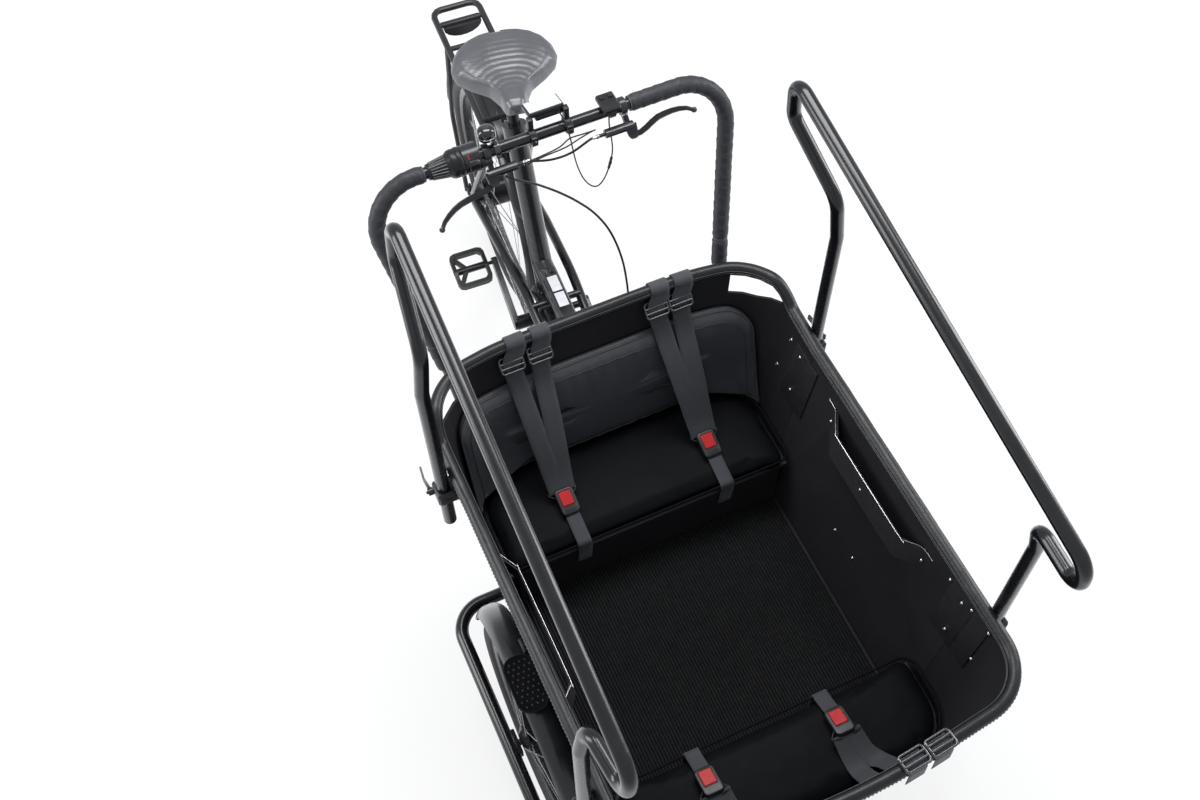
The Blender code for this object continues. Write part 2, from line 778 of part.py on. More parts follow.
# Floor and mat
floor_outline = outline_at(WALL_FOOT, WALL / 2 + 0.0012)
floor = plate(floor_outline, FLOOR_THICKNESS, placed((0, 0, FRAME_TOP + GAP + FLOOR_THICKNESS / 2)))
finished("floor_panel", floor, BOARD_BLACK, root)
floor_top = FRAME_TOP + GAP + FLOOR_THICKNESS
mat_low = floor_top + GAP
mat_top = mat_low + MAT_THICKNESS
mat_outline = trimmed(outline_at(WALL_FOOT, WALL / 2 + 0.0060), REAR_BENCH_EDGE_Y + RISER_SET_BACK - 0.0015, -1)
mat_outline = trimmed(mat_outline, FRONT_BENCH_EDGE_Y - RISER_SET_BACK + 0.0015, 1)
mat = plate(mat_outline, MAT_THICKNESS, placed((0, 0, (mat_low + mat_top) / 2)))
finished("floor_mat", mat, MAT_RUBBER, root)

# Benches: a top board and a riser that stands on the floor
cushion_low = SEAT_TOP - CUSHION_THICKNESS
board_top = cushion_low - GAP
board_low = board_top - BOARD


def bench(edge_y, keep, name):
    top_outline = trimmed(outline_at(board_low, WALL / 2 + 0.0030), edge_y + keep * RISER_SET_BACK, keep)
    board = plate(top_outline, BOARD, placed((0, 0, board_low + BOARD / 2)))
    width = 2 * (wall_x(floor_top) - WALL / 2 - 0.003)
    height = board_low - floor_top + 0.004
    riser = block((width, BOARD, height),
                  at=(0, edge_y + keep * (RISER_SET_BACK + BOARD / 2), floor_top + GAP + height / 2))
    finished(name, union(board, riser), BOARD_BLACK, root)


bench(REAR_BENCH_EDGE_Y, 1, "bench_rear")
bench(FRONT_BENCH_EDGE_Y, -1, "bench_front")


# Cushions

def thinned(outline, least):
    """The outline without points that lie closer together than a distance."""
    found = []
    for point in outline:
        if not found or (point - found[-1]).length > least:
            found.append(point)
    if (found[0] - found[-1]).length < least:
        found.pop()
    return found


def drawn_in(outline, distance):
    """A closed outline shrunk towards its middle by the same distance on every side."""
    xs = [p.x for p in outline]
    ys = [p.y for p in outline]
    middle = Vector(((min(xs) + max(xs)) / 2, (min(ys) + max(ys)) / 2))
    scale_x = 1 - 2 * distance / (max(xs) - min(xs))
    scale_y = 1 - 2 * distance / (max(ys) - min(ys))
    return [middle + Vector(((p.x - middle.x) * scale_x, (p.y - middle.y) * scale_y)) for p in outline]


def padded_rings(outline, thickness, levels):
    """Rings of a cushion, each a distance in from the outline and a share of the thickness up."""
    rings = []
    for inset, height in levels:
        ring = inset_ring(outline, inset) if inset < 0.006 else drawn_in(outline, inset)
        rings.append([(p.x, p.y, thickness * height) for p in ring])
    return rings


SEAT_LEVELS = ((0.004, 0.0), (0.0005, 0.20), (0.0015, 0.55), (0.0, 0.82), (0.005, 0.93), (0.022, 0.975), (0.055, 1.0))
BACK_LEVELS = ((0.004, 0.0), (0.0, 0.12), (0.0, 0.28), (0.003, 0.42), (0.030, 0.76), (0.070, 1.0))


def softened(outline, radius):
    """Rounds the sharp corners of a closed outline."""
    found = []
    count = len(outline)
    for i in range(count):
        before, here, after = outline[i - 1], outline[i], outline[(i + 1) % count]
        if (here - before).angle(after - here) > radians(50):
            found += corner_arc(before, here, after, radius, 3)
        else:
            found.append(here)
    return found


def seat_cushion(edge_y, keep, name, corner):
    inside = thinned(trimmed(outline_at(cushion_low, WALL / 2 + 0.0030), edge_y, keep), 0.012)
    outline = softened(inside, corner)
    rings = padded_rings(outline, CUSHION_THICKNESS, SEAT_LEVELS)
    rings = [[(x, y, z + cushion_low) for x, y, z in ring] for ring in rings]
    finished(name, loft(rings), VINYL, root, sharp=50)


seat_cushion(REAR_BENCH_EDGE_Y, 1, "cushion_rear", 0.020)
seat_cushion(FRONT_BENCH_EDGE_Y, -1, "cushion_front", 0.025)

back_foot = SEAT_TOP + 0.0010
back_height = BACKREST_TOP - back_foot
back_outline = rounded_rectangle(2 * BACKREST_HALF_WIDTH, back_height, BACKREST_CORNER, 5)
back_outline = back_outline[:10] + [Vector((-BACKREST_HALF_WIDTH, -back_height / 2)), Vector((-0.1, -back_height / 2)), Vector((0.1, -back_height / 2)), Vector((BACKREST_HALF_WIDTH, -back_height / 2))]
extra = []
for a, b in zip(back_outline, back_outline[1:] + back_outline[:1]):
    extra.append(a)
    pieces = int((b - a).length / 0.09)
    extra += [a.lerp(b, (n + 1) / (pieces + 1)) for n in range(pieces)]
rings = []
for ring in padded_rings(extra, 1.0, BACK_LEVELS):
    row = []
    for x, v, w in ring:
        z = back_foot + back_height / 2 + v
        back = end_wall_y(x, z, WALL / 2, 1) - 0.0008
        depth = mix(BACKREST_DEPTH_LOW, BACKREST_DEPTH_TOP, (z - SEAT_TOP) / (BACKREST_TOP - SEAT_TOP))
        row.append((x, back - depth * w, z))
    rings.append(row)
finished("backrest_pad", loft(rings), VINYL, root, sharp=50)


# Frame under the box with the stub axles, the bumpers and their brackets
axle_z = FRONT_TYRE_RADIUS
beam_x = FLOOR_HALF_WIDTH + WALL / 2 - RAIL_BEAM_WIDTH / 2
beam_z = FRAME_TOP - RAIL_BEAM_HEIGHT / 2
beam_length = RAIL_BEAM_REAR_Y - RAIL_BEAM_FRONT_Y
beam_mid = (RAIL_BEAM_REAR_Y + RAIL_BEAM_FRONT_Y) / 2
frame = block((2 * beam_x, 0.044, RAIL_BEAM_HEIGHT - 0.002), at=(0, AXLE_Y, beam_z))
for y in (RAIL_BEAM_FRONT_Y + 0.030, RAIL_BEAM_REAR_Y - 0.030):
    frame = union(frame, block((2 * beam_x, 0.030, RAIL_BEAM_HEIGHT - 0.004), at=(0, y, beam_z)))
head = rod((0, PIVOT_Y, BEAM_LOW_Z + BEAM_RADIUS + 0.006), (0, PIVOT_Y, FRAME_TOP - 0.001), HEAD_TUBE_RADIUS, 16)
frame = union(frame, head)
frame = cut(frame, rod((0, PIVOT_Y, BEAM_LOW_Z), (0, PIVOT_Y, FRAME_TOP + 0.01), STEERER_RADIUS + 0.0012, 16))
for side in (1, -1):
    frame = union(frame, block((RAIL_BEAM_WIDTH, beam_length, RAIL_BEAM_HEIGHT), at=(side * beam_x, beam_mid, beam_z)))
    corner_x = side * (beam_x + 0.005)
    route = bent([(corner_x, BUMPER_REAR_Y, BUMPER_Z), (side * BUMPER_X, BUMPER_REAR_Y, BUMPER_Z),
                  (side * BUMPER_X, BUMPER_FRONT_Y, BUMPER_Z), (corner_x, BUMPER_FRONT_Y, BUMPER_Z)], BUMPER_BEND)
    frame = union(frame, tube(route, BUMPER_RADIUS))
    bracket = block((0.022, 0.052, 0.030), at=(side * (BUMPER_X - 0.0095), AXLE_Y, BUMPER_Z - 0.006))
    axle = rod((side * (beam_x - 0.01), AXLE_Y, axle_z), (side * BUMPER_X, AXLE_Y, axle_z), AXLE_RADIUS, 12)
    spacer = rod((side * (beam_x + 0.010), AXLE_Y, axle_z), (side * 0.3235, AXLE_Y, axle_z), 0.015, 10)
    frame = union(frame, bracket, axle, spacer)
    caliper = block((0.026, 0.060, 0.030), at=(side * 0.3330, AXLE_Y + 0.058, axle_z + 0.050), turn=(-45, 0, 0))
    caliper = cut(caliper, rod((side * 0.3300, AXLE_Y, axle_z), (side * 0.3346, AXLE_Y, axle_z), 0.0845, 24))
    arm = union(block((0.0185, 0.026, 0.046), at=(side * 0.3198, AXLE_Y + 0.052, axle_z + 0.030)),
                block((0.0320, 0.026, 0.020), at=(side * 0.3130, AXLE_Y + 0.052, beam_z + 0.002)))
    frame = union(frame, union(caliper, arm))
finished("axle_frame", frame, BLACK_PAINT, root)


# Wheels

def tyre_profile(outer, bead):
    """Half width, centre radius and bead of a tyre as a closed profile of (radius, across)."""
    half = TYRE_WIDTH / 2
    centre = outer - half
    inner = 0.0122
    found = [(bead + 0.0009, -inner), (bead + 0.0066, -inner)]
    for degree in (-125, -80, -42, 0, 42, 80, 125):
        angle = radians(degree)
        found.append((centre + half * cos(angle), half * sin(angle)))
    found += [(bead + 0.0066, inner), (bead + 0.0009, inner)]
    return found


def rim_profile(bead):
    return [(bead + 0.006, 0.0152), (bead - 0.010, 0.0125), (bead - 0.010, -0.0125), (bead + 0.006, -0.0152),
            (bead + 0.006, -0.0127), (bead + 0.0004, -0.0127), (bead + 0.0004, 0.0127), (bead + 0.006, 0.0127)]


def spokes(count, flange_radius, flange_x, bead, crossing):
    """Laced spokes: half on each flange, alternately heads in and heads out."""
    bm = bmesh.new()
    per_side = count // 2
    for index in range(count):
        side = 1 if index % 2 else -1
        place = index // 2
        outward = place % 2
        hub_angle = 2 * pi * (place + (0.5 if side > 0 else 0.0)) / per_side
        lean = crossing if outward else -crossing
        rim_angle = hub_angle + lean
        across = side * (flange_x + (0.0021 if outward else -0.0021))
        start = Vector((flange_radius * cos(hub_angle), flange_radius * sin(hub_angle), across))
        end = Vector(((bead - 0.0045) * cos(rim_angle), (bead - 0.0045) * sin(rim_angle), side * 0.004))
        made = bmesh.ops.create_cone(bm, cap_ends=True, segments=3, radius1=0.0012, radius2=0.0012,
                                     depth=(end - start).length)
        bmesh.ops.transform(bm, matrix=along(start, end), verts=made["verts"])
    return from_bmesh("spokes", bm)


def wheel(bead, count, hub, flange_radius, flange_x, crossing):
    rim = turned(rim_profile(bead), WHEEL_STEPS)
    centre = turned(hub, 14)
    laced = spokes(count, flange_radius, flange_x, bead, crossing)
    return union(laced, rim, centre)


# In hub profiles the last column runs from the box side, minus, to the outer side.
BORE = AXLE_RADIUS + 0.0008
front_hub = [(BORE, -0.0480), (0.0180, -0.0480), (0.0180, -0.0408), (0.0800, -0.0408), (0.0800, -0.0388), (0.0180, -0.0388),
             (0.0290, -0.0285), (0.0290, -0.0235), (0.0150, -0.0190), (0.0150, 0.0190), (0.0290, 0.0235),
             (0.0290, 0.0285), (0.0140, 0.0390), (BORE, 0.0390)]
for side, name in ((1, "left"), (-1, "right")):
    # The turning axis points away from the box, with a tread point on the floor.
    place = Matrix.Translation((side * FRONT_WHEEL_X, AXLE_Y, axle_z)) @ Matrix.Rotation(radians(90 * side), 4, "Y")
    origin = (side * FRONT_WHEEL_X, AXLE_Y, axle_z)
    body = wheel(FRONT_BEAD_RADIUS, FRONT_SPOKES, front_hub, 0.0250, 0.0260, radians(52))
    body.data.transform(place)
    finished("wheel_front_" + name, body, DARK_METAL, root, origin=origin)
    tyre = turned(tyre_profile(FRONT_TYRE_RADIUS, FRONT_BEAD_RADIUS), WHEEL_STEPS, place)
    finished("tyre_front_" + name, tyre, RUBBER, root, origin=origin)


def guard(centre, radius, first, last, steps, width):
    """A mudguard round a wheel: an open channel swept over an arc, angles from the front."""
    half = width / 2
    across = ((-half, 0.016), (-half * 0.86, 0.004), (0.0, 0.0), (half * 0.86, 0.004), (half, 0.016))
    rows = []
    for i in range(steps + 1):
        angle = radians(mix(first, last, i / steps))
        row = [(centre[0] + x, centre[1] - (radius - drop) * cos(angle), centre[2] + (radius - drop) * sin(angle))
               for x, drop in across]
        rows.append(row)
    return shell(rows, 0.0020, offset=0.0)


for side, name in ((1, "left"), (-1, "right")):
    radius = FRONT_TYRE_RADIUS + GUARD_CLEARANCE
    piece = guard((side * FRONT_WHEEL_X, AXLE_Y, axle_z), radius, 25, 170, 10, GUARD_WIDTH)
    step_plate = plate(rounded_rectangle(STEP_WIDTH, STEP_LENGTH, 0.026, 3), 0.006,
                       placed((side * (FRONT_WHEEL_X + 0.009), STEP_Y, STEP_TOP - 0.003)))
    post = block((0.030, 0.050, STEP_TOP - 0.004 - (axle_z + radius - 0.003)),
                 at=(side * FRONT_WHEEL_X, STEP_Y, (STEP_TOP - 0.004 + axle_z + radius - 0.003) / 2))
    reach = wall_x(axle_z + radius + 0.002) + WALL / 2 + 0.0006
    tie = block((FRONT_WHEEL_X - reach, 0.034, 0.004), at=(side * (FRONT_WHEEL_X + reach) / 2, AXLE_Y, axle_z + radius + 0.0012))
    piece = union(piece, union(step_plate, post), tie)
    finished("mudguard_front_" + name, piece, GLOSS, root)


# Side rails

def rail_route(side):
    high = bent([(side * RAIL_X, RAIL_FRONT_Y, RAIL_FOOT_Z), (side * RAIL_X, RAIL_FRONT_Y, 1.000),
                 (side * 0.376, RAIL_FRONT_Y + 0.004, 1.070), (side * 0.366, RAIL_END_Y, 1.078),
                 (side * 0.360, RAIL_END_Y + 0.004, 1.150), (side * 0.352, 0.4500, 1.312),
                 (side * 0.358, 0.4520, 1.222), (side * 0.377, RAIL_REAR_Y + 0.003, 1.140),
                 (side * RAIL_X, RAIL_REAR_Y, 1.040), (side * RAIL_X, RAIL_REAR_Y, RAIL_FOOT_Z)],
                [0.050, 0.030, 0.036, 0.036, 0.030, 0.030, 0.050, 0.050], step=26)
    return high


for side, name in ((1, "left"), (-1, "right")):
    finished("rail_" + name, tube(rail_route(side), RAIL_RADIUS), BLACK_PAINT, root,
             origin=(side * RAIL_X, RAIL_REAR_Y, RAIL_FOOT_Z))

# Rear rail clamps, each with a quick-release lever on a stud
lever_y = RAIL_REAR_Y + CLAMP_WIDTH / 2
stud_x = RAIL_X + 0.008
for side, name in ((1, "left"), (-1, "right")):
    body = union(clamp_body(RAIL_REAR_Y), wall_foot_plate(RAIL_REAR_Y, 0.002 + GAP))
    clearance = block((0.020, 0.200, 0.200), at=(wall_x(CLAMP_Z) - 0.010 + (WALL / 2 + GAP) / cos(WALL_TILT), RAIL_REAR_Y, CLAMP_Z),
                      turn=(0, degrees_of(WALL_TILT), 0))
    body = cut(body, clamp_bore(RAIL_REAR_Y), clearance)
    split = block((0.020, CLAMP_WIDTH / 2, 0.0024), at=(RAIL_X + 0.012, lever_y, CLAMP_Z))
    body = cut(body, split)
    stud = rod((RAIL_X + 0.0145, RAIL_REAR_Y + 0.010, CLAMP_Z), (RAIL_X + 0.031, RAIL_REAR_Y + 0.010, CLAMP_Z), 0.003, 10)
    body = union(body, stud)
    lever = turned([(0.0036, 0.0), (0.0075, 0.0), (0.0075, 0.010), (0.0036, 0.010)], 14,
                   Matrix.Translation((RAIL_X + 0.0176, RAIL_REAR_Y + 0.010, CLAMP_Z)) @ Matrix.Rotation(radians(90), 4, "Y"))
    blade = loft([[(RAIL_X + 0.0226 + dx * w + bow, RAIL_REAR_Y + 0.0158 + run, CLAMP_Z + dz * h)
                   for dx, dz in ((-1, -1), (1, -1), (1, 1), (-1, 1))]
                  for run, w, h, bow in ((0.0, 0.0030, 0.0050, 0.0), (0.022, 0.0022, 0.0060, 0.003), (0.048, 0.0020, 0.0065, 0.0))])
    lever = union(lever, blade)
    if side < 0:
        body_copy, lever_copy = mirrored(body), mirrored(lever)
        bpy.data.objects.remove(body, do_unlink=True)
        bpy.data.objects.remove(lever, do_unlink=True)
        body, lever = body_copy, lever_copy
    finished("rail_clamp_" + name, body, PLASTIC, root)
    finished("clamp_lever_" + name, lever, DARK_METAL, root, origin=(side * (RAIL_X + 0.0226), RAIL_REAR_Y + 0.010, CLAMP_Z))


# Push bar on the rear wall

def bar_leg(side):
    foot_y = end_wall_y(LEG_X - 0.010, LEG_FOOT_Z, -WALL / 2, 1) + BAR_RADIUS + 0.008
    mid_y = end_wall_y(LEG_X - 0.008, 0.640, -WALL / 2, 1) + BAR_RADIUS + 0.008
    return [(side * BAR_HALF_WIDTH, BAR_Y, BAR_Z), (side * LEG_X, LEG_Y, LEG_Z), (side * (LEG_X - 0.008), mid_y, 0.640),
            (side * (LEG_X - 0.010), foot_y, LEG_FOOT_Z)]


left_leg = bar_leg(1)
right_leg = bar_leg(-1)
bar_route = bent(list(reversed(left_leg)) + right_leg, [0.06, 0.06, BAR_BEND, BAR_BEND, 0.06, 0.06], step=20)
bar = tube(bar_route, BAR_RADIUS)
for side in (1, -1):
    for z in (0.600, 0.475):
        x = LEG_X - 0.009
        y_wall = end_wall_y(x, z, -WALL / 2, 1)
        swing = atan2(end_wall_y(x + 0.022, z, -WALL / 2, 1) - end_wall_y(x - 0.022, z, -WALL / 2, 1), 0.044)
        tilt = atan2(end_wall_y(x, z + 0.015, -WALL / 2, 1) - end_wall_y(x, z - 0.015, -WALL / 2, 1), 0.030)
        foot = block((0.044, 0.016, 0.030), at=(side * x, y_wall + (0.008 + FOOT_STAND_OFF) / cos(swing), z),
                     turn=(-degrees_of(tilt), 0, side * degrees_of(swing)))
        bar = union(bar, foot)
finished("push_bar", bar, BLACK_PAINT, root)


def bar_part(keep):
    return [p for p in bar_route if keep(p)]


for side, name, start in ((1, "left", WRAP_LEFT_START), (-1, "right", WRAP_RIGHT_START)):
    points = bar_part(lambda p: p.x * side > abs(start) and p.z > LEG_Z + 0.045)
    inner_end = Vector((start, BAR_Y, BAR_Z))
    leg = [Vector(p) for p in (left_leg if side > 0 else right_leg)]
    low_end = leg[1] + (leg[0] - leg[1]).normalized() * 0.080
    points = [p for p in points if p.z > low_end.z]
    points = [low_end] + points + [inner_end] if side > 0 else [inner_end] + points + [low_end]
    sleeve = cut(tube(points, WRAP_RADIUS), tube(bar_route, BAR_RADIUS + 0.0004))
    finished("bar_wrap_" + name, sleeve, VINYL, root)


# Controls

def bar_ring(x, width, radius, sides=12):
    """A clamp ring round the bar."""
    bore = BAR_RADIUS + 0.0004
    return turned([(bore, -width / 2), (radius, -width / 2), (radius, width / 2), (bore, width / 2)], sides,
                  Matrix.Translation((x, BAR_Y, BAR_Z)) @ SIDEWAYS)


def bar_bore(x, width):
    return rod((x - width, BAR_Y, BAR_Z), (x + width, BAR_Y, BAR_Z), BAR_RADIUS + 0.0006, 16)


# Levers lie in a plane that holds the bar and falls away in front of it.
DOWN = Vector((0, -cos(radians(LEVER_TILT)), -sin(radians(LEVER_TILT))))
ACROSS = Vector((0, -DOWN.z, DOWN.y))


def in_plane(x, out, up=0.0):
    """A point by its place along the bar, its distance from it and its height over the plane."""
    return Vector((x, BAR_Y, BAR_Z)) + DOWN * out - ACROSS * up


def plane_matrix(x, out, up=0.0):
    place = in_plane(x, out, up)
    spin = Matrix((Vector((1, 0, 0)), DOWN, ACROSS)).transposed().to_4x4()
    return Matrix.Translation(place) @ spin


def lever_set(side, clamp_x, bends, lever_name, mount_name, mount_extra=None):
    """A brake mount with its cylinder and a lever that hinges on it. side +1 reaches to +X."""
    pivot_x = clamp_x + side * 0.0040
    pivot_out = LEVER_REACH
    mount = bar_ring(clamp_x, 0.012, 0.0165, 12)
    arm = block((0.010, 0.026, 0.010), matrix=plane_matrix(clamp_x, 0.025))
    cylinder = rod(in_plane(clamp_x + side * 0.010, 0.038, 0.001), in_plane(clamp_x - side * 0.046, 0.038, 0.001), 0.0085, 10)
    ear = plate([(-0.013, -0.020), (0.011, -0.020), (0.009, 0.000), (0.005, 0.007), (-0.005, 0.007), (-0.010, 0.000)], 0.004,
                plane_matrix(pivot_x, pivot_out, 0.0052) @ Matrix.Diagonal((side, 1, 1, 1)))
    pin = rod(in_plane(pivot_x, pivot_out, 0.0045), in_plane(pivot_x, pivot_out, -0.0050), 0.0030, 10)
    nozzle = rod(in_plane(clamp_x - side * 0.044, 0.038, 0.001), in_plane(clamp_x - side * 0.058, 0.038, 0.001), 0.0035, 8)
    mount = union(mount, arm, cylinder, ear, pin, nozzle)
    route = smooth_route([(x, y, 0) for x, y in bends], 0.015)
    rings = []
    for i, p in enumerate(route):
        ahead = route[min(i + 1, len(route) - 1)] - route[max(i - 1, 0)]
        normal = Vector((-ahead.y, ahead.x, 0)).normalized()
        share = i / (len(route) - 1)
        wide = mix(0.0050, 0.0036, share) + 0.0015 * sin(pi * share)
        thick = mix(0.0026, 0.0040, smooth(share * 3))
        rings.append([p + normal * wide * a + Vector((0, 0, thick * b)) for a, b in
                      ((1, 0), (0.6, -1), (-0.6, -1), (-1, 0), (-0.6, 1), (0.6, 1))])
    blade = loft(rings)
    eye = rod((0, 0, -0.0026), (0, 0, 0.0026), 0.0075, 14)
    ball = turned([(0.0, 0.0062), (0.0054, 0.0030), (0.0054, -0.0030), (0.0, -0.0062)], 8, closed=False)
    ball.data.transform(Matrix.Translation(route[-1]))
    blade = union(blade, eye, ball)
    blade = cut(blade, rod((0, 0, -0.01), (0, 0, 0.01), 0.0034, 12))
    blade.data.transform(plane_matrix(pivot_x, pivot_out) @ Matrix.Diagonal((side, 1, 1, 1)))
    if side < 0:
        bm = bmesh.new()
        bm.from_mesh(blade.data)
        bmesh.ops.recalc_face_normals(bm, faces=bm.faces)
        bm.to_mesh(blade.data)
        bm.free()
    if mount_extra is not None:
        mount = union(mount, mount_extra)
    finished(mount_name, mount, DARK_METAL, root)
    finished(lever_name, blade, DARK_METAL, root, origin=in_plane(pivot_x, pivot_out))


# The levers' bends, each a place along the bar and a distance from it, both from the pin
LEFT_BENDS = ((0.0, 0.0), (0.014, 0.0), (0.033, -0.0065), (0.050, -0.0145), (0.069, -0.0175), (0.091, -0.0180), (0.111, -0.0145),
              (0.125, -0.0065))
RIGHT_BENDS = ((0.0, 0.0), (0.018, 0.0075), (0.047, 0.0115), (0.072, 0.0165), (0.093, 0.0265), (0.108, 0.0375), (0.115, 0.0465))
lever_set(1, LEFT_BRAKE_X, LEFT_BENDS, "brake_lever_left", "brake_mount_left")
shifter = rod((SHIFTER_X - 0.015, BAR_Y, BAR_Z), (SHIFTER_X + 0.015, BAR_Y, BAR_Z), 0.0265, 18)
shifter = union(shifter, block((0.026, 0.020, 0.022), at=(SHIFTER_X + 0.001, BAR_Y - 0.018, BAR_Z + 0.004), bevel=0.005))
bridge = block((0.030, 0.012, 0.008), at=(SHIFTER_X + 0.020, BAR_Y - 0.018, BAR_Z - 0.004))
shifter = cut(union(shifter, bridge), bar_bore(SHIFTER_X, 0.060))
lever_set(-1, RIGHT_BRAKE_X, RIGHT_BENDS, "brake_lever_right", "brake_mount_right", shifter)

bore = BAR_RADIUS + 0.0008
length = abs(GRIP_END - GRIP_START)
grip_profile = [(bore, 0.0), (0.0265, 0.0), (0.0275, 0.006), (0.0265, 0.018), (0.0215, 0.026), (0.0150, length - 0.006), (0.0140, length),
                (bore, length)]
grip = turned(grip_profile, 16, Matrix.Translation((GRIP_START, BAR_Y, BAR_Z)) @ Matrix.Rotation(radians(-90), 4, "Y"))
finished("shifter_grip", grip, VINYL, root, origin=(GRIP_START, BAR_Y, BAR_Z))

display = bar_ring(DISPLAY_CLAMPS[0], 0.012, 0.0155)
for x in DISPLAY_CLAMPS:
    lug = block((0.010, 0.012, 0.036), at=(x, BAR_Y + 0.006, BAR_Z + 0.024))
    arm = cut(union(lug, bar_ring(x, 0.012, 0.0155)) if x != DISPLAY_CLAMPS[0] else lug, bar_bore(x, 0.020))
    display = union(display, arm) if x == DISPLAY_CLAMPS[0] else together(display, arm)
screen_at = Vector((sum(DISPLAY_CLAMPS) / 2, BAR_Y + 0.028, BAR_Z + 0.035))
screen = block(DISPLAY_SIZE, at=screen_at, turn=(SCREEN_TILT, 0, 0), bevel=0.003)
display = union(screen, display)
finished("display", display, PLASTIC, root)

pad = cut(union(bar_ring(PAD_X, 0.012, 0.0150), block((0.034, 0.044, 0.012), at=(PAD_X - 0.004, BAR_Y, BAR_Z + 0.019), bevel=0.003)),
          bar_bore(PAD_X, 0.040))
button_spots = ((PAD_X - 0.012, BAR_Y + 0.010), (PAD_X + 0.004, BAR_Y + 0.010))
pad_top = BAR_Z + 0.025
for x, y in button_spots:
    pad = cut(pad, rod((x, y, pad_top - 0.0045), (x, y, pad_top + 0.004), 0.0054, 10))
finished("button_pad", pad, PLASTIC, root)
for (x, y), name in zip(button_spots, ("button_down", "button_up")):
    button = rod((x, y, pad_top - 0.0025), (x, y, pad_top + 0.0025), 0.0047, 10)
    finished(name, button, PLASTIC, root, origin=(x, y, pad_top - 0.0025))

bell_cup = turned([(0.0, 0.030), (0.009, 0.029), (0.0145, 0.026), (0.0165, 0.020), (0.0165, 0.006), (0.0135, 0.004), (0.0, 0.004)], 14,
                  placed((BELL_X - 0.011, BAR_Y + 0.008, BAR_Z + 0.0195), (-12, 0, 0)), closed=False)
bell_stem = rod((BELL_X, BAR_Y, BAR_Z + 0.0125), (BELL_X - 0.007, BAR_Y + 0.005, BAR_Z + 0.0280), 0.0050, 8)
bell = cut(union(bar_ring(BELL_X, 0.010, 0.0145), bell_stem, bell_cup), bar_bore(BELL_X, 0.012))
finished("bell", bell, GLOSS, root)


# Rear frame, which steers about the pivot under the box
steering = empty("steering_pivot", root, at=(0, PIVOT_Y, 0), turn=(0, 0, -STEER_AT_REST))
STEER = (0, PIVOT_Y, 0)
seat_slope = 1 / tan(radians(SEAT_ANGLE))
bracket = Vector((0, BRACKET_Y, BRACKET_Z))
rear_axle = Vector((0, REAR_AXLE_Y, REAR_TYRE_RADIUS))


def seat_line(z, x=0.0):
    return Vector((x, BRACKET_Y + (z - BRACKET_Z) * seat_slope, z))


def both(piece):
    other = mirrored(piece)
    return together(piece, other)


seat_tube = rod(seat_line(BRACKET_Z), seat_line(SEAT_TUBE_TOP), SEAT_TUBE_RADIUS, 16)
collar = rod(seat_line(SEAT_TUBE_TOP - 0.022), seat_line(SEAT_TUBE_TOP + 0.006), SEAT_TUBE_RADIUS + 0.0035, 16)
beam_route = bent([seat_line(BEAM_HIGH_Z), (0, BEAM_HIGH_Y, BEAM_HIGH_Z), (0, BEAM_LOW_Y, BEAM_LOW_Z), (0, PIVOT_Y, BEAM_LOW_Z)], 0.110)
beam = tube(beam_route, BEAM_RADIUS, resolution=3)
steerer = rod((0, PIVOT_Y, BEAM_LOW_Z - 0.010), (0, PIVOT_Y, FRAME_TOP - 0.002), STEERER_RADIUS, 24)
pivot_end = rod((0, PIVOT_Y, BEAM_LOW_Z - BEAM_RADIUS - 0.002), (0, PIVOT_Y, BEAM_LOW_Z + BEAM_RADIUS + 0.002), 0.034, 20)
motor = block((0.066, 0.124, 0.118), at=(0, BRACKET_Y - 0.012, BRACKET_Z + 0.014), turn=(-18, 0, 0), bevel=0.018)
shell_tube = rod((-0.0345, BRACKET_Y, BRACKET_Z), (0.0345, BRACKET_Y, BRACKET_Z), 0.0215, 16)
stay_route = bent([(DROPOUT_X, REAR_AXLE_Y - 0.024, REAR_TYRE_RADIUS + 0.004),
                   (0.0660, REAR_AXLE_Y - 0.170, REAR_TYRE_RADIUS + 0.044),
                   (0.0600, BRACKET_Y + 0.015, BRACKET_Z + 0.111), (0.0550, BRACKET_Y - 0.125, BRACKET_Z + 0.091),
                   (0.0400, BEAM_LOW_Y + 0.045, BEAM_LOW_Z + 0.018), (0.0240, BEAM_LOW_Y - 0.050, BEAM_LOW_Z)],
                  [0.30, 0.30, 0.15, 0.15])
stays = both(tube(stay_route, STAY_RADIUS, resolution=1))
upper_route = [seat_line(SEAT_TUBE_TOP - 0.045, 0.020), (0.050, REAR_AXLE_Y - 0.158, REAR_TYRE_RADIUS + 0.326),
               (DROPOUT_X, REAR_AXLE_Y - 0.012, REAR_TYRE_RADIUS + 0.026)]
upper_stays = both(tube(bent(upper_route, 0.060), 0.0080))
dropouts = both(block((0.006, 0.046, 0.050), at=(DROPOUT_X, REAR_AXLE_Y - 0.002, REAR_TYRE_RADIUS + 0.004)))
axle = rod((-DROPOUT_X - 0.0025, REAR_AXLE_Y, REAR_TYRE_RADIUS), (DROPOUT_X + 0.0025, REAR_AXLE_Y, REAR_TYRE_RADIUS), AXLE_RADIUS, 12)
bridge = rod((-0.058, BRACKET_Y - 0.045, BRACKET_Z + 0.1085), (0.058, BRACKET_Y - 0.045, BRACKET_Z + 0.1085), 0.0085, 10)
rear_frame = union(seat_tube, collar, beam, steerer, pivot_end, motor, shell_tube, bridge, stays, upper_stays, dropouts, axle)
rear_frame = cut(rear_frame, rod(seat_line(0.440), seat_line(SEAT_TUBE_TOP + 0.03), POST_RADIUS + 0.0010, 16),
                 rod((-0.05, BRACKET_Y, BRACKET_Z), (0.05, BRACKET_Y, BRACKET_Z), 0.0096, 16))

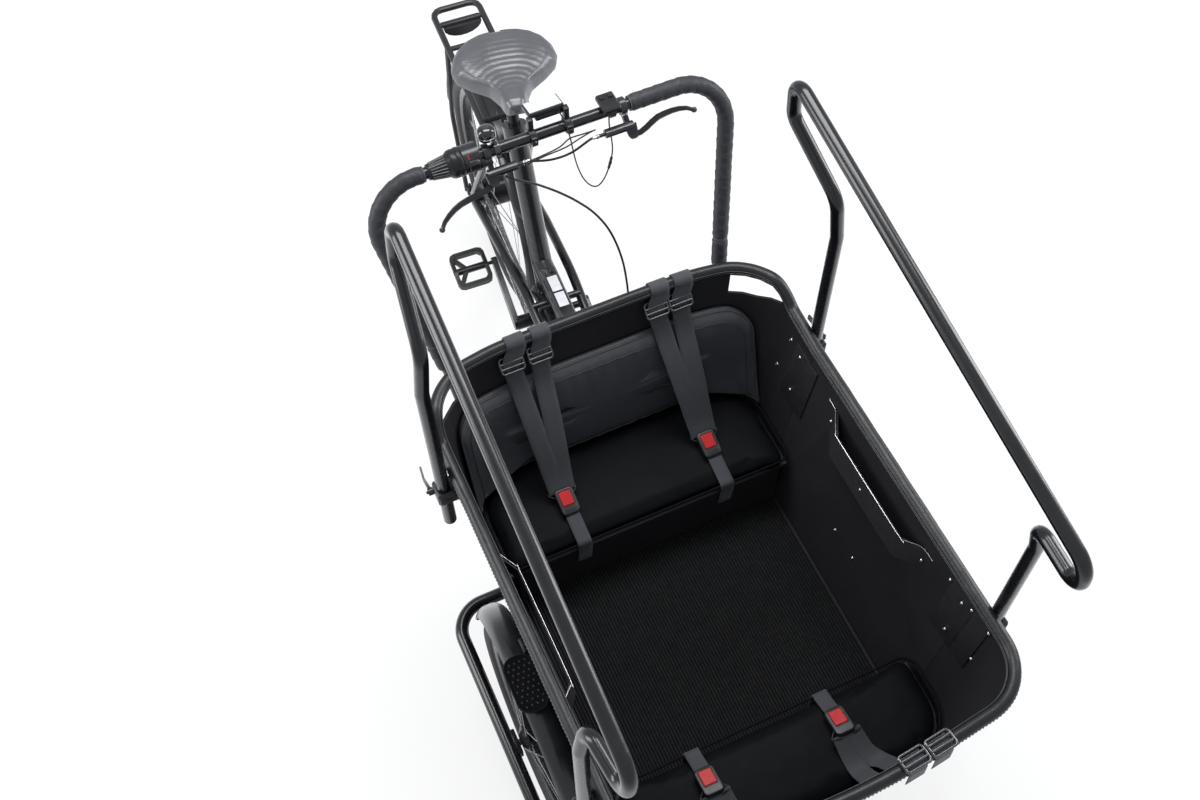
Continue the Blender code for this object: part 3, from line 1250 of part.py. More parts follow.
# Battery lying in the top of the beam, lifted out upwards
battery_front = BEAM_HIGH_Y + 0.045
battery_rear = BRACKET_Y + (BEAM_HIGH_Z - BRACKET_Z) * seat_slope - SEAT_TUBE_RADIUS - 0.018
battery_mid = (battery_front + battery_rear) / 2
battery_length = battery_rear - battery_front
battery_z = BEAM_HIGH_Z + 0.011
rear_frame = cut(rear_frame, block((0.0386, battery_length + 0.0012, 0.0440), at=(0, battery_mid, battery_z + 0.0014)))
finished("rear_frame", rear_frame, BLACK_PAINT, steering, origin=STEER, parent_origin=STEER)
battery = block((0.0374, battery_length, 0.0400), at=(0, battery_mid, battery_z), bevel=0.004)
lock = rod((0.006, battery_rear - 0.014, battery_z + 0.018), (0.006, battery_rear - 0.014, battery_z + 0.0240), 0.0060, 12)
finished("battery", union(battery, lock), GLOSS, steering, origin=(0, battery_mid, battery_z), parent_origin=STEER)


# Rear wheel with its gear hub and sprocket

def pitch_radius(teeth):
    return CHAIN_PITCH / (2 * sin(pi / teeth))


def toothed(teeth):
    root_radius = pitch_radius(teeth) - 0.0038
    tip_radius = pitch_radius(teeth) + 0.0026
    ring = []
    for i in range(teeth):
        for share, radius in ((-0.24, root_radius), (0.0, tip_radius), (0.24, root_radius)):
            angle = 2 * pi * (i + share) / teeth
            ring.append((radius * cos(angle), radius * sin(angle)))
    return ring


rear_hub = [(BORE, -0.0620), (0.0160, -0.0620), (0.0290, -0.0475), (0.0290, -0.0425), (0.0220, -0.0400),
            (0.0450, -0.0285), (0.0450, -0.0235), (0.0380, -0.0200), (0.0380, 0.0200), (0.0450, 0.0235), (0.0450, 0.0285),
            (0.0140, 0.0620), (BORE, 0.0620)]
rear_place = Matrix.Translation(rear_axle) @ SIDEWAYS
rear_wheel = wheel(REAR_BEAD_RADIUS, REAR_SPOKES, rear_hub, 0.0410, 0.0260, radians(46))
sprocket = plate(toothed(SPROCKET_TEETH), 0.0020, Matrix.Translation((0, 0, CHAIN_LINE)), holes=(ring_points(0.020, 16),))
rear_wheel = union(rear_wheel, sprocket)
rear_wheel.data.transform(rear_place)
finished("wheel_rear", rear_wheel, DARK_METAL, steering, origin=rear_axle, parent_origin=STEER)
finished("tyre_rear", turned(tyre_profile(REAR_TYRE_RADIUS, REAR_BEAD_RADIUS), WHEEL_STEPS, rear_place), RUBBER, steering,
         origin=rear_axle, parent_origin=STEER)

# Crankset: spindle, arms, spider and chainring
crank_turn = Matrix.Translation(bracket) @ Matrix.Rotation(radians(CRANK_ANGLE), 4, "X")
crank_arm_out = CRANK_X + 0.0065


def arm(sign):
    outline = ring_points(0.0150, 14, start=pi / 14)
    stadium = [p for p in outline if p[0] <= 0.002] + [(CRANK_LENGTH + 0.0110 * cos(a), 0.0110 * sin(a)) for a in
                                                       [radians(d) for d in (-85, -50, -15, 15, 50, 85)]]
    stadium.sort(key=lambda p: atan2(p[1], p[0] - CRANK_LENGTH / 2))
    matrix = Matrix(((0, 0, 1), (sign, 0, 0), (0, sign, 0))).to_4x4()
    return plate(stadium, 0.0130, Matrix.Translation((-sign * CRANK_X, 0, 0)) @ matrix)


spindle = rod((-crank_arm_out, 0, 0), (crank_arm_out, 0, 0), 0.0086, 16)
boss = rod((-CRANK_X, 0, 0), (-0.0385, 0, 0), 0.0165, 16)
across = Matrix.Translation((CHAIN_LINE, 0, 0)) @ SIDEWAYS
chainring = plate(toothed(RING_TEETH), 0.0020, across, holes=(ring_points(0.0600, 20),))
spider = None
for i in range(5):
    angle = 2 * pi * i / 5 + 0.3
    reach = Vector((0, cos(angle), sin(angle)))
    leg = block((0.0032, 0.056, 0.0120), matrix=Matrix.Translation(Vector((CHAIN_LINE - 0.0004, 0, 0)) + reach * 0.0380) @ Matrix.Rotation(angle, 4, "X"))
    spider = leg if spider is None else union(spider, leg)
crank = union(spindle, boss, arm(1), arm(-1), chainring, spider)
for sign in (1, -1):
    crank = union(crank, rod((-sign * CRANK_X, sign * CRANK_LENGTH, 0), (-sign * (crank_arm_out + 0.0110 + PEDAL_WIDTH - 0.004), sign * CRANK_LENGTH, 0), 0.0045, 12))
crank.data.transform(crank_turn)
finished("crankset", crank, DARK_METAL, steering, origin=bracket, parent_origin=STEER)

pedal_mid = crank_arm_out + 0.0100 + PEDAL_WIDTH / 2
for sign, name in ((1, "right"), (-1, "left")):
    centre = crank_turn @ Vector((-sign * pedal_mid, sign * CRANK_LENGTH, 0))
    cage = plate(rounded_rectangle(PEDAL_WIDTH, PEDAL_LENGTH, 0.014, 3), 0.015,
                 holes=(rounded_rectangle(PEDAL_WIDTH - 0.018, PEDAL_LENGTH - 0.020, 0.008, 2),))
    sleeve = rod((-PEDAL_WIDTH / 2 + 0.001, 0, 0), (PEDAL_WIDTH / 2 - 0.001, 0, 0), 0.0085, 12)
    webs = union(block((0.010, 0.048, 0.010), at=(-sign * 0.024, 0.022, 0), turn=(0, 0, sign * 32)),
                 block((0.010, 0.048, 0.010), at=(-sign * 0.024, -0.022, 0), turn=(0, 0, -sign * 32)))
    pedal = cut(union(cage, sleeve, webs), rod((-PEDAL_WIDTH, 0, 0), (PEDAL_WIDTH, 0, 0), 0.0053, 12))
    pedal.data.transform(Matrix.Translation(centre) @ Matrix.Rotation(radians(8), 4, "X"))
    finished("pedal_" + name, pedal, PLASTIC, steering, origin=centre, parent_origin=STEER)


# Chain: links alternately wide and narrow, open inwards for the teeth

def chain_body():
    stand = 0.0026 + 0.0008
    big = pitch_radius(RING_TEETH) + stand
    small = pitch_radius(SPROCKET_TEETH) + stand
    run = rear_axle - bracket
    distance = run.length
    heading = atan2(run.z, run.y)
    lean = acos((big - small) / distance)
    straight = sqrt(distance ** 2 - (big - small) ** 2)
    big_sweep = 2 * (pi - lean)
    small_sweep = 2 * lean
    total = 2 * straight + big * big_sweep + small * small_sweep
    links = 2 * int(round(total / CHAIN_PITCH / 2))

    def at(s):
        """The place and the outward direction at a length along the chain."""
        s = s % total
        if s < straight:
            out = heading + lean
            a = Vector((cos(out), sin(out)))
            start = Vector((bracket.y, bracket.z)) + a * big
            end = Vector((rear_axle.y, rear_axle.z)) + a * small
            return start.lerp(end, s / straight), a
        s -= straight
        if s < small * small_sweep:
            out = heading + lean - s / small
            a = Vector((cos(out), sin(out)))
            return Vector((rear_axle.y, rear_axle.z)) + a * small, a
        s -= small * small_sweep
        if s < straight:
            out = heading - lean
            a = Vector((cos(out), sin(out)))
            start = Vector((rear_axle.y, rear_axle.z)) + a * small
            end = Vector((bracket.y, bracket.z)) + a * big
            return start.lerp(end, s / straight), a
        s -= straight
        out = heading - lean - s / big
        a = Vector((cos(out), sin(out)))
        return Vector((bracket.y, bracket.z)) + a * big, a

    rings = []
    for i in range(links):
        spot, out = at(total * i / links)
        wide, high = (0.0046, 0.0040) if i % 2 else (0.0036, 0.0032)
        slot, floor_gap = 0.0020, 0.0008
        section = ((-wide, -0.0042), (-wide, high), (wide, high), (wide, -0.0042), (slot, -0.0042), (slot, floor_gap), (-slot, floor_gap), (-slot, -0.0042))
        rings.append([(CHAIN_LINE + x, spot.x + out.x * h, spot.y + out.y * h) for x, h in section])
    bm = bmesh.new()
    grid = [[bm.verts.new(Vector(p)) for p in ring] for ring in rings]
    for low, high_row in zip(grid, grid[1:] + grid[:1]):
        for j in range(8):
            bm.faces.new((low[j], low[(j + 1) % 8], high_row[(j + 1) % 8], high_row[j]))
    return baked(from_bmesh("chain", bm))


finished("chain", chain_body(), STEEL, steering, origin=STEER, parent_origin=STEER, sharp=20)

# Rear mudguard, hung from the rack's middle bar
guard_radius = REAR_TYRE_RADIUS + GUARD_CLEARANCE
rear_guard = guard(tuple(rear_axle), guard_radius, 36, 178, 11, 0.062)
hanger_low = REAR_TYRE_RADIUS + sqrt(guard_radius ** 2 - (RACK_MIDDLE_BAR_Y - REAR_AXLE_Y) ** 2) - 0.003
hanger_top = RACK_Z - RACK_RADIUS - 0.0008
hanger = block((0.020, 0.010, hanger_top - hanger_low), at=(0, RACK_MIDDLE_BAR_Y, (hanger_top + hanger_low) / 2))
finished("mudguard_rear", union(rear_guard, hanger), GLOSS, steering, origin=STEER, parent_origin=STEER)

# Rack: a hoop, three bars, struts to the axle and a half-round lamp under the rear bar
hoop = tube(bent([(RACK_HALF_WIDTH, RACK_FRONT_Y, RACK_Z), (RACK_HALF_WIDTH, RACK_REAR_Y, RACK_Z), (-RACK_HALF_WIDTH, RACK_REAR_Y, RACK_Z),
                  (-RACK_HALF_WIDTH, RACK_FRONT_Y, RACK_Z)], 0.022, step=30), RACK_RADIUS)
bars = together(*[rod((-RACK_HALF_WIDTH, y, RACK_Z), (RACK_HALF_WIDTH, y, RACK_Z), RACK_RADIUS * 0.8, 8)
                  for y in (RACK_FRONT_Y + 0.012, RACK_MIDDLE_BAR_Y, RACK_REAR_BAR_Y)])
strut_route = [(RACK_HALF_WIDTH, REAR_AXLE_Y + 0.115, RACK_Z), (0.0660, REAR_AXLE_Y + 0.112, REAR_TYRE_RADIUS + 0.178),
               (0.0775, REAR_AXLE_Y + 0.010, REAR_TYRE_RADIUS + 0.016)]
strut = tube(bent(strut_route, 0.060), 0.0060)
foot = block((0.0080, 0.018, 0.024), at=(DROPOUT_X + 0.003 + GAP + 0.0040, REAR_AXLE_Y + 0.010, REAR_TYRE_RADIUS + 0.016), bevel=0.002)
neck_start = seat_line(RACK_Z).y
neck_end = RACK_FRONT_Y + 0.030
neck = block((0.030, neck_end - neck_start, 0.006), at=(0, (neck_start + neck_end) / 2, RACK_Z - 0.002))
lamp_outline = [(0.046 * cos(radians(a)), -0.030 * sin(radians(a))) for a in range(0, 181, 20)]
lamp = plate(lamp_outline, 0.026, placed((0, RACK_REAR_BAR_Y, RACK_Z - 0.002), (90, 0, 0)))
rack = union(hoop, bars, both(union(strut, foot)), lamp, neck)
rack = cut(rack, rod(seat_line(BRACKET_Z + 0.2), seat_line(SEAT_TUBE_TOP - 0.0225), SEAT_TUBE_RADIUS + 0.0004, 16))
finished("rack", rack, SATIN_PAINT, steering, origin=STEER, parent_origin=STEER)

# Seat post and saddle
saddle_low = SADDLE_TOP - 0.050
post_top = seat_line(saddle_low - 0.010)
post = rod(seat_line(0.560), post_top, POST_RADIUS, 16)
saddle_turn = Matrix.Translation((0, post_top.y, 0)) @ Matrix.Rotation(radians(-SADDLE_TURN), 4, "Z")
clamp_head = block((0.034, 0.110, 0.014), at=(0, -0.004, saddle_low - 0.0074), bevel=0.003, matrix=saddle_turn)
finished("seat_post", union(post, clamp_head), DARK_METAL, steering, origin=post_top, parent_origin=STEER)

# Each section: place along the saddle, share of the half width, and how far its top and edge lie below the highest point
sections = ((-0.138, 0.10, 0.020, 0.036), (-0.129, 0.18, 0.008, 0.045), (-0.095, 0.24, 0.005, 0.050), (-0.055, 0.34, 0.006, 0.050),
            (-0.018, 0.58, 0.008, 0.050), (0.020, 0.86, 0.006, 0.050), (0.052, 1.0, 0.001, 0.048),
            (0.078, 0.91, 0.000, 0.042), (0.094, 0.65, 0.006, 0.036), (0.101, 0.34, 0.014, 0.030))
saddle_rings = []
for y, half, top, low in sections:
    ring = []
    for k in range(12):
        angle = 2 * pi * k / 12
        x = half * SADDLE_HALF_WIDTH * cos(angle)
        share = abs(cos(angle))
        if sin(angle) > 0.01:
            z = SADDLE_TOP - top - (low - top) * 0.42 * share ** 3
        elif sin(angle) < -0.01:
            z = SADDLE_TOP - low
            x *= 0.80
        else:
            z = SADDLE_TOP - mix(top, low, 0.60)
        ring.append((x, y, z))
    saddle_rings.append(ring)
saddle = loft(saddle_rings)
saddle.data.transform(saddle_turn @ Matrix.Translation((0, -SADDLE_SET_FORWARD, 0)) @ Matrix.Diagonal((1, SADDLE_STRETCH, 1, 1)))
finished("saddle", saddle, VINYL, steering, origin=(0, post_top.y, SADDLE_TOP), parent_origin=STEER, sharp=60)


# Harnesses

def ribbon(points, width=STRAP_WIDTH, slope=0.0):
    """Webbing along a route, flat to the X axis or to a line that runs off it by a slope."""
    points = [Vector(p) for p in points]
    rows = []
    for i, p in enumerate(points):
        ahead = (points[min(i + 1, len(points) - 1)] - points[max(i - 1, 0)]).normalized()
        level = Vector((1, slope, 0)).normalized()
        side = level if slope else (level - ahead * ahead.dot(level)).normalized()
        rows.append([p - side * width / 2, p + side * width / 2])
    return shell(rows, STRAP_THICKNESS)


def rim_spot(x, rear):
    """The rim's middle line at a place across the front or the rear."""
    line = rim_line if not rear else list(reversed(rim_line))
    for a, b in zip(line, line[1:]):
        if a.x <= abs(x) <= b.x:
            y = mix(a.y, b.y, (abs(x) - a.x) / (b.x - a.x))
            return y, rim_height(y)
    return line[0].y, rim_height(line[0].y)


def rim_slope(x, rear):
    return (rim_spot(x + 0.015, rear)[0] - rim_spot(x - 0.015, rear)[0]) / 0.030


def over_rim(x, rear, inside_drop, outside_drop):
    """A route from inside the box over the rim tube to its outer side."""
    y, z = rim_spot(x, rear)
    out = 1 if rear else -1
    r = RIM_RADIUS + STRAP_THICKNESS / 2 + 0.0016
    route = [(x, y - out * r, z - inside_drop)]
    for degree in (180, 135, 90, 45, 0):
        route.append((x, y + out * r * cos(radians(degree)), z + r * sin(radians(degree))))
    route.append((x, y + out * (r + 0.0015), z - outside_drop))
    return route


def buckle(x, y, z, tilt):
    """A housing with a pocket for its red button, which stands clear of it all round."""
    place = placed((x, y, z), (tilt, 0, 0))
    width, length, height = BUCKLE_SIZE
    housing = block((width, length, height), bevel=0.004, matrix=place)
    pocket = block((0.0258, 0.0308, 0.020), at=(0, 0.006, height / 2 + 0.010 - 0.0095), matrix=place)
    button = block((0.0250, 0.0300, 0.0070), at=(0, 0.006, height / 2 - 0.0095 + 0.0040 + 0.0035), matrix=place)
    return housing, pocket, button, place


def rear_harness(x, straps, name):
    y, z = 0.302, SEAT_TOP + 0.0235
    tilt = 18
    housing, pocket, button, place = buckle(x, y, z, tilt)
    back = place @ Vector((0, BUCKLE_SIZE[1] / 2 - 0.004, 0))
    front = place @ Vector((0, -BUCKLE_SIZE[1] / 2 + 0.004, 0))
    pieces = housing
    for rim_x, slide_x in straps:
        lean = 0.009 * (1 if slide_x > x else -1)
        top = over_rim(rim_x, True, 0.006, 0.026)
        slide_y = end_wall_y(slide_x, SLIDE_Z, WALL / 2, 1) - 0.0175
        # In front of the backrest's top edge, then straight to the buckle.
        edge_x = mix(slide_x, x + lean, 0.2)
        edge = Vector((edge_x, end_wall_y(edge_x, BACKREST_TOP, WALL / 2, 1) - BACKREST_DEPTH_TOP * 0.8, BACKREST_TOP + 0.002))
        route = [Vector((x + lean, back.y, back.z)), Vector((mix(x + lean, edge.x, 0.15), back.y + 0.020, back.z + 0.030)),
                 edge, Vector((slide_x, slide_y, SLIDE_Z))] + [Vector(p) for p in top]
        pieces = union(pieces, ribbon(route, slope=rim_slope(rim_x, True)))
        slide = block((0.048, 0.0060, 0.026), at=(slide_x, slide_y, SLIDE_Z), turn=(-22, 0, 0))
        pieces = union(pieces, slide)
    edge = REAR_BENCH_EDGE_Y - 0.0030
    strap = [front, (x, REAR_BENCH_EDGE_Y + 0.014, SEAT_TOP + 0.0032), (x, edge, SEAT_TOP - 0.003), (x, edge, cushion_low),
             (x, edge + 0.0042, cushion_low - 0.030), (x, edge + 0.0060, cushion_low - 0.048)]
    pieces = union(pieces, ribbon(strap, 0.030))
    finished("harness_" + name, cut(pieces, pocket), WEBBING, root)
    finished("buckle_button_" + name, button, RED, root, origin=place @ Vector((0, 0.006, 0.002)))
    return place


def front_harness(x, strap_xs, name):
    y, z = -0.325, SEAT_TOP + 0.0235
    tilt = 12
    housing, pocket, button, place = buckle(x, y, z, -tilt)
    back = place @ Vector((0, BUCKLE_SIZE[1] / 2 - 0.004, 0))
    front = place @ Vector((0, -BUCKLE_SIZE[1] / 2 + 0.004, 0))
    pieces = housing
    for strap_x in strap_xs:
        lean = 0.010 * (1 if strap_x > x else -1)
        rim_y, rim_z = rim_spot(strap_x, False)
        top = over_rim(strap_x, False, 0.020, 0.034)
        wall = [Vector((strap_x, end_wall_y(strap_x, h, WALL / 2, -1) + 0.0070, h)) for h in (SEAT_TOP + 0.060, 0.640)]
        route = [Vector((x + lean, front.y, front.z)), Vector((mix(x + lean, strap_x, 0.3), -0.392, SEAT_TOP + 0.0080)),
                 Vector((mix(x + lean, strap_x, 0.8), wall[0].y + 0.030, SEAT_TOP + 0.0120))] + wall + [Vector(p) for p in top]
        pieces = union(pieces, ribbon(route, slope=rim_slope(strap_x, False)))
        slide = block((0.046, 0.030, 0.0065), at=(strap_x, rim_y + 0.002, rim_z + RIM_RADIUS + 0.0060), turn=(-4, 0, 0))
        pieces = union(pieces, slide)
    edge = FRONT_BENCH_EDGE_Y + 0.0030
    strap = [back, (x, FRONT_BENCH_EDGE_Y - 0.014, SEAT_TOP + 0.0032), (x, edge, SEAT_TOP - 0.003), (x, edge, cushion_low),
             (x, edge - 0.0042, cushion_low - 0.030), (x, edge - 0.0060, cushion_low - 0.048)]
    pieces = union(pieces, ribbon(strap, 0.030))
    finished("harness_" + name, cut(pieces, pocket), WEBBING, root)
    finished("buckle_button_" + name, button, RED, root, origin=place @ Vector((0, 0.006, 0.002)))


# Each rear strap: where it crosses the rim, then where its slide hangs
rear_harness(0.167, ((0.137, 0.125), (0.187, 0.176)), "rear_left")
rear_harness(-0.152, ((-0.112, -0.122), (-0.164, -0.180)), "rear_right")
front_harness(0.120, (0.114, 0.166), "front_left")
front_harness(-0.148, (-0.114, -0.166), "front_right")


# Brake hoses and the display's lead
long_end = in_plane(RIGHT_BRAKE_X + 0.0583, 0.038, 0.001)
short_end = in_plane(LEFT_BRAKE_X - 0.0583, 0.038, 0.001)
low_y = end_wall_y(0.08, 0.45, -WALL / 2, 1) + 0.006
along_bar = Vector((1, 0, 0))
long_route = [long_end + along_bar * 0.003, long_end + along_bar * 0.014, (-0.028, 0.638, 1.065), (-0.004, 0.620, 1.031),
              (0.028, 0.600, 0.998), (0.054, 0.580, 0.948), (0.073, 0.561, 0.885), (0.082, 0.545, 0.815), (0.084, 0.532, 0.740),
              (0.082, low_y + 0.030, 0.560), (0.080, low_y, 0.420), (0.078, low_y - 0.020, 0.310)]
long_ferrule = rod(long_end, long_end + along_bar * 0.012, 0.0032, 8)
short_ferrule = rod(short_end, short_end - along_bar * 0.012, 0.0032, 8)
hose = tube(smooth_route(long_route, 0.045), 0.0022)
short_route = [short_end - along_bar * 0.003, short_end - along_bar * 0.016, (0.030, 0.6505, 1.0820), (-0.010, 0.6490, 1.0840),
               long_end + along_bar * 0.0070]
hose = union(hose, tube(smooth_route(short_route, 0.030), 0.0022))
hose = union(hose, long_ferrule, short_ferrule)
finished("brake_hoses", hose, PLASTIC, root)

screen_forward = Vector((0, -cos(radians(SCREEN_TILT)), -sin(radians(SCREEN_TILT))))
screen_down = Vector((0, screen_forward.z, -screen_forward.y)) * -1
lead_start = screen_at + Vector((0.022, 0, 0)) + screen_forward * 0.0175 + screen_down * (DISPLAY_SIZE[2] / 2 + 0.0004)
pad_front = BAR_Y - 0.022
lead_end = Vector((PAD_X - 0.010, pad_front + 0.0045, BAR_Z + 0.013 - 0.0004))
lead_route = [lead_start, lead_start + screen_down * 0.005, (0.028, 0.672, 1.143), (0.033, 0.663, 1.114), (0.046, 0.665, 1.027), (0.063, 0.665, 0.972), (0.085, 0.665, 0.948),
              (0.104, 0.664, 0.973), (0.1165, 0.6625, 1.034), lead_end - Vector((0, 0, 0.030)), lead_end]
lead = tube(smooth_route(lead_route, 0.017), 0.0014)
finished("display_lead", lead, PLASTIC, root)

for guide in list(workshop.objects):
    bpy.data.objects.remove(guide, do_unlink=True)

# The origin goes under the middle of the whole length
bpy.context.view_layer.update()
reach = [(piece.matrix_world @ corner.co).y for piece in parts.objects if piece.type == "MESH" for corner in piece.data.vertices]
root.location.y = -(min(reach) + max(reach)) / 2
bpy.context.view_layer.update()
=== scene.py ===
# %% [markdown]
# This lesson dresses an electric cargo trike: an open padded box between two front wheels, and a rear
# frame with saddle and pedals that steers about a pivot under the box. The construction model comes in
# as a fixed frame. Here each surface gets its finish, and the soft and fine pieces are modelled again.

# %% Load the frame
import bpy
import bmesh
import json
from math import sin, cos, tan, pi, radians, degrees, sqrt, atan2
from mathutils import Vector, Matrix, noise


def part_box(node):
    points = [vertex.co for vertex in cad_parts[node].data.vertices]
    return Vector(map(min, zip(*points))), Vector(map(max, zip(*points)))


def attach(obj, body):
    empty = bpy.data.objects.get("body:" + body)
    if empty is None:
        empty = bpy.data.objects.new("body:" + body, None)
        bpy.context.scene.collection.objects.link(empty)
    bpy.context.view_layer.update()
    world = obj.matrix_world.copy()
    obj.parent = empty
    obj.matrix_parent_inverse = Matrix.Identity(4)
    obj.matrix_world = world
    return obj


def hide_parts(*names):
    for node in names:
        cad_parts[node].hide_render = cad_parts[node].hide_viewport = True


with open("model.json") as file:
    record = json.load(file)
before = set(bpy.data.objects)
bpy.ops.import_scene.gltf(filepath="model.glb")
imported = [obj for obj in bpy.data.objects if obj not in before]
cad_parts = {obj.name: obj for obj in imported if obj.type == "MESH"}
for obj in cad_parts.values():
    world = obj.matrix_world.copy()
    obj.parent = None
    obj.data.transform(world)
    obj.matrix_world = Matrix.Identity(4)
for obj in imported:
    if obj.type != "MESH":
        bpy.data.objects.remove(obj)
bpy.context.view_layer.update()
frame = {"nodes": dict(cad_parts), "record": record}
nodes = frame["nodes"]

# %% [markdown]
# The sizes below were worked out with y = 0 at the middle of the box and z = 0 on the floor. The packed
# model has its origin under the middle of its whole length, so the front axle gives the step between the
# two. The rear frame stands turned about its pivot by a few degrees, and its points are turned with it.

# %% The two systems of coordinates
AXLE_Y = -0.040
STEER_AT_REST = radians(3.4)
SIDES = ((1, "left"), (-1, "right"))
low, high = (Vector(corner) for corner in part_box("tyre_front_left"))
STEP = Vector((0, (low.y + high.y) / 2 - AXLE_Y, 0))
FRONT_PLACE = Matrix.Translation(STEP)
REAR_PLACE = (Matrix.Translation(STEP + Vector((0, AXLE_Y, 0))) @ Matrix.Rotation(-STEER_AT_REST, 4, "Z")
              @ Matrix.Translation((0, -AXLE_Y, 0)))
print("step between the two systems", STEP.y)

# %% [markdown]
# The camera looks down from a ladder's height at the front right of the trike, as in the photograph.
# Its place and directions come from straight edges and repeated sizes in the picture. The three
# directions are the columns of its rotation: right, up and backwards.

# %% Camera
right = Vector((0.9109, -0.4123, -0.0124)).normalized()
forward = Vector((0.2076, 0.4843, -0.8500)).normalized()
up = right.cross(forward).normalized()
camera_data = bpy.data.cameras.new("camera")
camera_data.sensor_width = 36.0
camera_data.lens = 41.83
camera_data.clip_start = 0.05
camera = bpy.data.objects.new("camera", camera_data)
camera.matrix_world = (Matrix.Translation(Vector((-0.602, -0.928, 2.978)) + STEP)
                       @ Matrix((right, up, -forward)).transposed().to_4x4())
bpy.context.scene.collection.objects.link(camera)
bpy.context.scene.camera = camera
bpy.context.scene.view_settings.view_transform = "Standard"
print("camera at", camera.matrix_world.translation)

# %% [markdown]
# Node trees are built with three helpers: an emptied tree, a node with its settings and links, and the
# product of two values.

# %% Node helpers
def emptied(owner):
    owner.use_nodes = True
    owner.node_tree.nodes.clear()
    return owner.node_tree


def add(tree, kind, settings=None, **values):
    """A node with its settings. An input is set to a value, or linked where a node or socket is given."""
    new = tree.nodes.new("ShaderNode" + kind)
    for key, value in (settings or {}).items():
        setattr(new, key, value)
    for key, value in values.items():
        socket = new.inputs[int(key[1:])] if key[1:].isdigit() else new.inputs[key.replace("_", " ")]
        if isinstance(value, bpy.types.Node):
            value = value.outputs[0]
        if isinstance(value, bpy.types.NodeSocket):
            tree.links.new(value, socket)
        else:
            socket.default_value = value
    return new


def times(tree, a, b, clamp=False):
    return add(tree, "Math", {"operation": "MULTIPLY", "use_clamp": clamp}, _0=a, _1=b)


# %% [markdown]
# The studio is a white sweep. Camera rays see plain white, and all other rays meet a slightly cool and
# dimmer room. A wide lamp over the box and two at the sides give the long soft highlights on the tubes.
# The floor glows for the camera, so that only the closest shadows show on it.

# %% Studio
world = bpy.data.worlds.new("studio")
bpy.context.scene.world = world
tree = emptied(world)
seen = add(tree, "Background", Color=(1, 1, 1, 1), Strength=1.0)
lit = add(tree, "Background", Color=(0.92, 0.96, 1, 1), Strength=0.62)
path = add(tree, "LightPath").outputs
either = add(tree, "Math", {"operation": "MAXIMUM"}, _0=path["Is Camera Ray"], _1=path["Is Transmission Ray"])
add(tree, "OutputWorld", _0=add(tree, "MixShader", _0=either, _1=lit, _2=seen))


def lamp(name, place, aim, size, power):
    data = bpy.data.lights.new(name, "AREA")
    data.shape = "RECTANGLE"
    data.size, data.size_y = size
    data.energy = power
    new = bpy.data.objects.new(name, data)
    new.location = place
    new.rotation_euler = (Vector(aim) - Vector(place)).to_track_quat("-Z", "Y").to_euler()
    bpy.context.scene.collection.objects.link(new)


lamp("top_lamp", (0.2, 0.6, 3.4), (0, 0, 0.5), (2.2, 0.9), 60)
lamp("left_lamp", (2.8, -0.2, 1.9), (0, 0, 0.6), (0.8, 2.2), 45)
lamp("right_lamp", (-2.6, 0.8, 1.8), (0, 0.2, 0.7), (0.8, 2.2), 40)

mesh = bpy.data.meshes.new("floor")
bm = bmesh.new()
bmesh.ops.create_grid(bm, x_segments=1, y_segments=1, size=12)
bm.to_mesh(mesh)
bm.free()
floor = bpy.data.objects.new("floor", mesh)
bpy.context.scene.collection.objects.link(floor)
white = bpy.data.materials.new("studio_floor")
tree = emptied(white)
matt = add(tree, "BsdfDiffuse", Color=(0.96, 0.96, 0.97, 1))
glow = add(tree, "Emission", Strength=1.0)
share = times(tree, add(tree, "LightPath").outputs["Is Camera Ray"], 0.72)
add(tree, "OutputMaterial", _0=add(tree, "MixShader", _0=share, _1=matt, _2=glow))
mesh.materials.append(white)
print("lamps", len(bpy.data.lights))


# %% [markdown]
# Materials share a few node groups. One gives fine and broad relief, one finds worn edges, one lays
# dust on faces that look up, and one weaves webbing from a strap's own length and width.

# %% Shared effects
def effect(name, outputs, **inputs):
    """An empty node group with float inputs. A Normal goes out as a vector, all else as a float."""
    tree = bpy.data.node_groups.new(name, "ShaderNodeTree")
    for label, value in inputs.items():
        socket = tree.interface.new_socket(label.replace("_", " "), in_out="INPUT", socket_type="NodeSocketFloat")
        socket.default_value = value
    for label in outputs:
        kind = "NodeSocketVector" if label == "Normal" else "NodeSocketFloat"
        tree.interface.new_socket(label, in_out="OUTPUT", socket_type=kind)
    return tree, tree.nodes.new("NodeGroupInput").outputs, tree.nodes.new("NodeGroupOutput").inputs


def send(tree, result, **found):
    for label, node in found.items():
        tree.links.new(node.outputs[0], result[label])


relief, given, result = effect("relief", ("Normal", "Shade"), Fine_Scale=700.0, Fine_Depth=0.2, Broad_Scale=20.0,
                               Broad_Depth=0.2)
spot = add(relief, "TexCoord").outputs["Object"]
cells = add(relief, "TexVoronoi", {"feature": "SMOOTH_F1"}, Vector=spot, Scale=given["Fine Scale"])
swell = add(relief, "TexNoise", Vector=spot, Scale=given["Broad Scale"], Detail=3.0, Distortion=0.8)
broad = add(relief, "Bump", Strength=given["Broad Depth"], Distance=0.004, Height=swell)
fine = add(relief, "Bump", Strength=given["Fine Depth"], Distance=0.0004, Height=cells, Normal=broad)
shade = add(relief, "MapRange", Value=swell, From_Min=0.3, From_Max=0.7, To_Min=0.93, To_Max=1.07)
send(relief, result, Normal=fine, Shade=shade)

